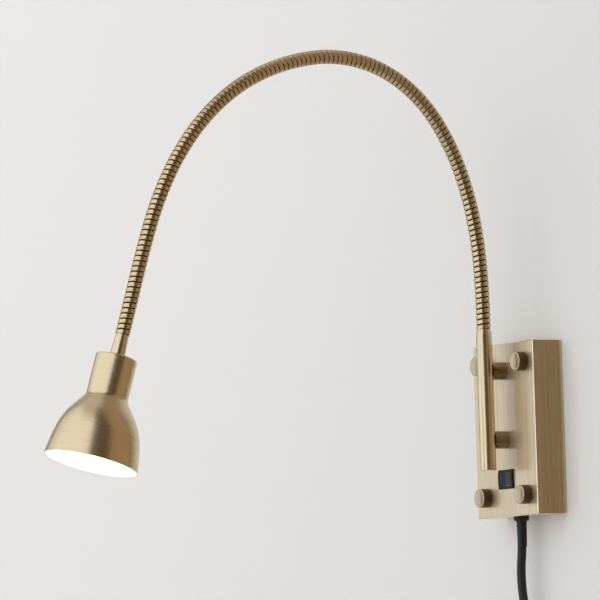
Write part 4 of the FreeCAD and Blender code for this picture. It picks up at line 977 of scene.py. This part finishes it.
def coil_tie(material):
    """A flat strap round the coil's turns, with rounded edges."""
    spread_out = COIL_TURNS / COIL_LAYERS * COIL_TURN_STEP / 2.0 + CORD_DIAMETER / 2.0 + TIE_GAP
    middle = COIL_FIRST_OUT + (COIL_LAYERS - 1) * COIL_LAYER_STEP / 2.0
    half_out = (COIL_LAYERS - 1) * COIL_LAYER_STEP / 2.0 + CORD_DIAMETER / 2.0 + TIE_GAP
    rings = []
    for across, beyond in rounded([(-TIE_HALF_WIDTH, 0.0, TIE_EDGE), (TIE_HALF_WIDTH, 0.0, TIE_EDGE),
                                   (TIE_HALF_WIDTH, TIE_THICKNESS, TIE_EDGE),
                                   (-TIE_HALF_WIDTH, TIE_THICKNESS, TIE_EDGE)]):
        outline = rounded_rectangle(spread_out + beyond, half_out + beyond, 0.0012 + beyond)
        rings.append([Vector((COIL_MEAN_RADIUS + x, -middle + z, across)) for x, z in outline])
    turn = Matrix.Rotation(TIE_ANGLE, 4, Vector((0.0, -1.0, 0.0)))
    place = Matrix.Translation((COIL_CENTRE[0], 0.0, COIL_CENTRE[1])) @ turn
    piece = loft("coil_strap", rings, [material], True, place)
    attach(piece, "wall_unit")
    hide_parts("cord_tie")
    return piece


# ---------------------------------------------------------------- CAD nodes that stay

def soften_edges(node, width):
    """Round the edges of a moulded CAD node."""
    piece = NODES[node]
    weld = piece.modifiers.new("weld", "WELD")
    weld.merge_threshold = 1e-6
    bevel = piece.modifiers.new("edges", "BEVEL")
    bevel.width = width
    bevel.segments = 3
    bevel.limit_method = "ANGLE"
    bevel.angle_limit = math.radians(25.0)
    bevel.harden_normals = False
    weighted = piece.modifiers.new("flat faces", "WEIGHTED_NORMAL")
    weighted.keep_sharp = True


def dress(node, material):
    piece = NODES[node]
    piece.data.materials.clear()
    piece.data.materials.append(material)


# ---------------------------------------------------------------- stage

STAGE_REACH = 6.0
WALL_BACK = 0.0004                   # the painted wall, just behind the lamp's own back
WALL_OVERLAP = 0.002                 # of the wall behind the box's edges
FLOOR_LEVEL = -0.95
FLOOR_TONE = (0.70, 0.69, 0.67)
# The wall's paint runs from lighter on the left to darker on the right: a painted fall-off of the window
# light.
WALL_LIT_LEFT = (0.84, 0.81, 0.77)
WALL_SHADED_RIGHT = (0.72, 0.69, 0.65)
WALL_LEFT_X = -1.1
WALL_RIGHT_X = 0.25
ROOM_TONE = (0.66, 0.62, 0.56)
DAYLIGHT = (0.96, 1.0, 1.06)
CARD_BOTTOM = -0.94
CARD_TOP = 6.0


def stage_mesh(name, points, faces, material):
    mesh = bpy.data.meshes.new(name)
    mesh.from_pydata(points, [], faces)
    mesh.materials.append(material)
    made = bpy.data.objects.new(name, mesh)
    bpy.context.scene.collection.objects.link(made)
    return made


def wall_and_floor():
    """A pale wall with a gap where the box covers it, and a pale floor well below."""
    back = WALL_BACK
    hole_x = COVER_HIGH.x - WALL_OVERLAP
    hole_z = COVER_HIGH.z - WALL_OVERLAP
    far = STAGE_REACH
    floor = FLOOR_LEVEL
    # The wall paint carries painted light, lighter to the left and darker to the right.
    wall_paint = painted_stage("wall_paint", WALL_LIT_LEFT, WALL_SHADED_RIGHT, WALL_LEFT_X, WALL_RIGHT_X)
    floor_paint = painted_stage("floor_paint", FLOOR_TONE, FLOOR_TONE, -1.0, 1.0)
    points = []
    for x in (-far, -hole_x, hole_x, far):
        for z in (floor, -hole_z, hole_z, far):
            points.append((x, back, z))
    faces = []
    for i in range(3):
        for j in range(3):
            if (i, j) != (1, 1):
                a = i * 4 + j
                faces.append((a, a + 4, a + 5, a + 1))
    stage_mesh("wall", points, faces, wall_paint)
    stage_mesh("floor", [(-far, back, floor), (far, back, floor), (far, -far, floor), (-far, -far, floor)],
               [(3, 2, 1, 0)], floor_paint)


def only_mirrored(made):
    """Leave a card to reflections alone, without light or shadow of its own on matt things."""
    made.visible_camera = False
    made.visible_diffuse = False
    made.visible_shadow = False


def card(name, start, end, radius, tone, strength, lights_room=True):
    """A curved card that stands round the lamp between two angles, never seen directly."""
    steps = 24
    points = []
    for k in range(steps + 1):
        angle = math.radians(start + (end - start) * k / steps)
        for z in (CARD_BOTTOM, CARD_TOP):
            points.append((radius * math.cos(angle), radius * math.sin(angle), z))
    faces = [(2 * k, 2 * k + 1, 2 * k + 3, 2 * k + 2) for k in range(steps)]
    made = stage_mesh(name, points, faces, glowing_card(name, tone, strength))
    made.visible_camera = False
    if not lights_room:
        only_mirrored(made)


def lights():
    """Even room light, a wide soft window to the left, and the dark end of the room."""
    world = bpy.data.worlds.new("room")
    world.use_nodes = True
    background = world.node_tree.nodes["Background"]
    background.inputs["Color"].default_value = (*ROOM_TONE, 1.0)
    background.inputs["Strength"].default_value = 1.0
    bpy.context.scene.world = world
    card("far_left", -180.0, -160.0, 3.1, (0.34, 0.29, 0.23), 1.0, lights_room=False)
    card("side_light", -160.0, -134.0, 3.2, DAYLIGHT, 1.05)
    card("window", -134.0, -33.0, 3.2, DAYLIGHT, 1.32)
    card("dark_room", -49.0, -1.0, 1.0, (0.11, 0.085, 0.06), 1.0, lights_room=False)
    for name, left, right, tone in (("warm_near", 0.046, 0.13, (0.31, 0.235, 0.155)),
                                    ("warm_far", 0.13, 3.0, (0.44, 0.33, 0.21))):
        warm = stage_mesh(name, [(left, -0.001, CARD_BOTTOM), (right, -0.001, CARD_BOTTOM),
                                 (right, -0.001, CARD_TOP), (left, -0.001, CARD_TOP)], [(0, 1, 2, 3)],
                          glowing_card(name, tone, 1.0))
        only_mirrored(warm)


# ---------------------------------------------------------------- build

def cord_pieces():
    """The cord, made first, with the gland, the plug and the strap that go with it."""
    sheath = cord_sheath()
    rubber = moulded_plastic("cord_rubber", (0.010, 0.010, 0.010), (0.018, 0.017, 0.016), 0.48, shine=0.3)
    mains_cord(sheath, [gland(rubber), plug(rubber), coil_tie(woven_tie()), NODES["plug_contacts"]])


def brass_pieces():
    """Everything in antique brass that the photograph shows, but for the standoffs."""
    plate_brass = brushed_brass("plate_brass", (0.66, 0.54, 0.36), (0.56, 0.44, 0.27), 0.44,
                                (5200.0, 5200.0, 60.0), 0.000004, streaks=(420.0, 420.0, 5.0),
                                anisotropy=0.5, lacquer=1.0, lacquer_roughness=0.12)
    stem_brass = brushed_brass("stem_brass", (0.66, 0.55, 0.37), (0.58, 0.46, 0.28), 0.20,
                               (4200.0, 4200.0, 80.0), 0.000003, streaks=(500.0, 500.0, 9.0),
                               anisotropy=0.4)
    neck_brass = ribbed_brass("rubbed_brass", (0.64, 0.50, 0.31), (0.56, 0.42, 0.24),
                              (0.06, 0.036, 0.018), (0.48, 0.36, 0.21), 0.24)
    shade_brass = brushed_brass("spun_brass", (0.64, 0.52, 0.33), (0.59, 0.47, 0.29), 0.31,
                                (60.0, 60.0, 4800.0), 0.000002, streaks=(15.0, 15.0, 1800.0),
                                anisotropy=0.4, turned=True)
    side_brass = brushed_brass("knurl_brass", (0.14, 0.09, 0.048), (0.08, 0.05, 0.026), 0.30,
                               (2600.0, 2600.0, 2600.0), 0.000004, lacquer=0.2)
    face_brass = brushed_brass("faced_brass", (0.46, 0.37, 0.25), (0.36, 0.28, 0.18), 0.24,
                               (3000.0, 3000.0, 3000.0), 0.000004, anisotropy=0.8, turned=True)
    worn_brass = brushed_brass("worn_brass", (0.88, 0.78, 0.58), (0.80, 0.69, 0.48), 0.20,
                               (2600.0, 2600.0, 60.0), 0.000003)
    plate_cover(plate_brass, worn_brass)
    nuts(side_brass, face_brass)
    stem(stem_brass)
    gooseneck(neck_brass)
    upper_ferrule(stem_brass)
    shade(shade_brass, white_lacquer())


def kept_nodes():
    """Finishes for the CAD nodes that stay, and rounder edges for those in plain sight."""
    dark_brass = brushed_brass("standoff_brass", (0.31, 0.22, 0.11), (0.21, 0.145, 0.066), 0.24,
                               (2600.0, 2600.0, 2600.0), 0.000003, lacquer=0.8)
    zinc = plain_metal("zinc_plate", (0.62, 0.62, 0.60), (0.50, 0.50, 0.49), 0.35)
    bare_brass = plain_metal("bare_brass", (0.70, 0.55, 0.30), (0.60, 0.46, 0.24), 0.30)
    pin_metal = plain_metal("pin_plating", (0.72, 0.70, 0.67), (0.64, 0.62, 0.59), 0.22)
    switch_black = moulded_plastic("switch_black", (0.006, 0.006, 0.007), (0.012, 0.012, 0.013), 0.40,
                                   depth=0.000008, shine=0.2)
    rocker_black = moulded_plastic("rocker_black", (0.004, 0.004, 0.005), (0.008, 0.008, 0.009), 0.16,
                                   depth=0.000003, shine=0.3)
    thermoset = moulded_plastic("thermoset", (0.014, 0.013, 0.012), (0.030, 0.028, 0.026), 0.30)
    white_plastic = moulded_plastic("terminal_white", (0.70, 0.70, 0.67), (0.62, 0.62, 0.58), 0.40)
    insulation = moulded_plastic("wire_sleeve", (0.55, 0.56, 0.55), (0.45, 0.46, 0.45), 0.42)
    flex = moulded_plastic("flex_sleeve", (0.60, 0.60, 0.58), (0.50, 0.50, 0.47), 0.45)
    finishes = {
        "standoffs": dark_brass, "mounting_bracket": zinc, "bracket_studs": zinc, "standoff_pipes": zinc,
        "pipe_nuts": zinc, "head_pipe": zinc, "terminal_screws": zinc, "earth_terminal": bare_brass,
        "switch_terminals": bare_brass, "lampholder_contacts": bare_brass, "bulb_base": pin_metal,
        "plug_contacts": pin_metal, "bulb_glass": lit_glass(), "lampholder_body": thermoset,
        "switch_housing": switch_black, "switch_rocker": rocker_black, "terminal_block": white_plastic,
        "box_wires": insulation, "stem_flex": flex, "head_flex": flex}
    for node, material in finishes.items():
        dress(node, material)
    for index in range(len(NECK_TURNS)):
        dress("neck_flex_%02d" % (index + 1), flex)
    soften_edges("switch_housing", 0.00025)
    soften_edges("switch_rocker", 0.00035)
    soften_edges("standoffs", 0.0007)


def main():
    make_camera()
    cord_pieces()
    brass_pieces()
    kept_nodes()
    wall_and_floor()
    lights()
    bpy.context.scene.view_settings.view_transform = "Standard"


main()
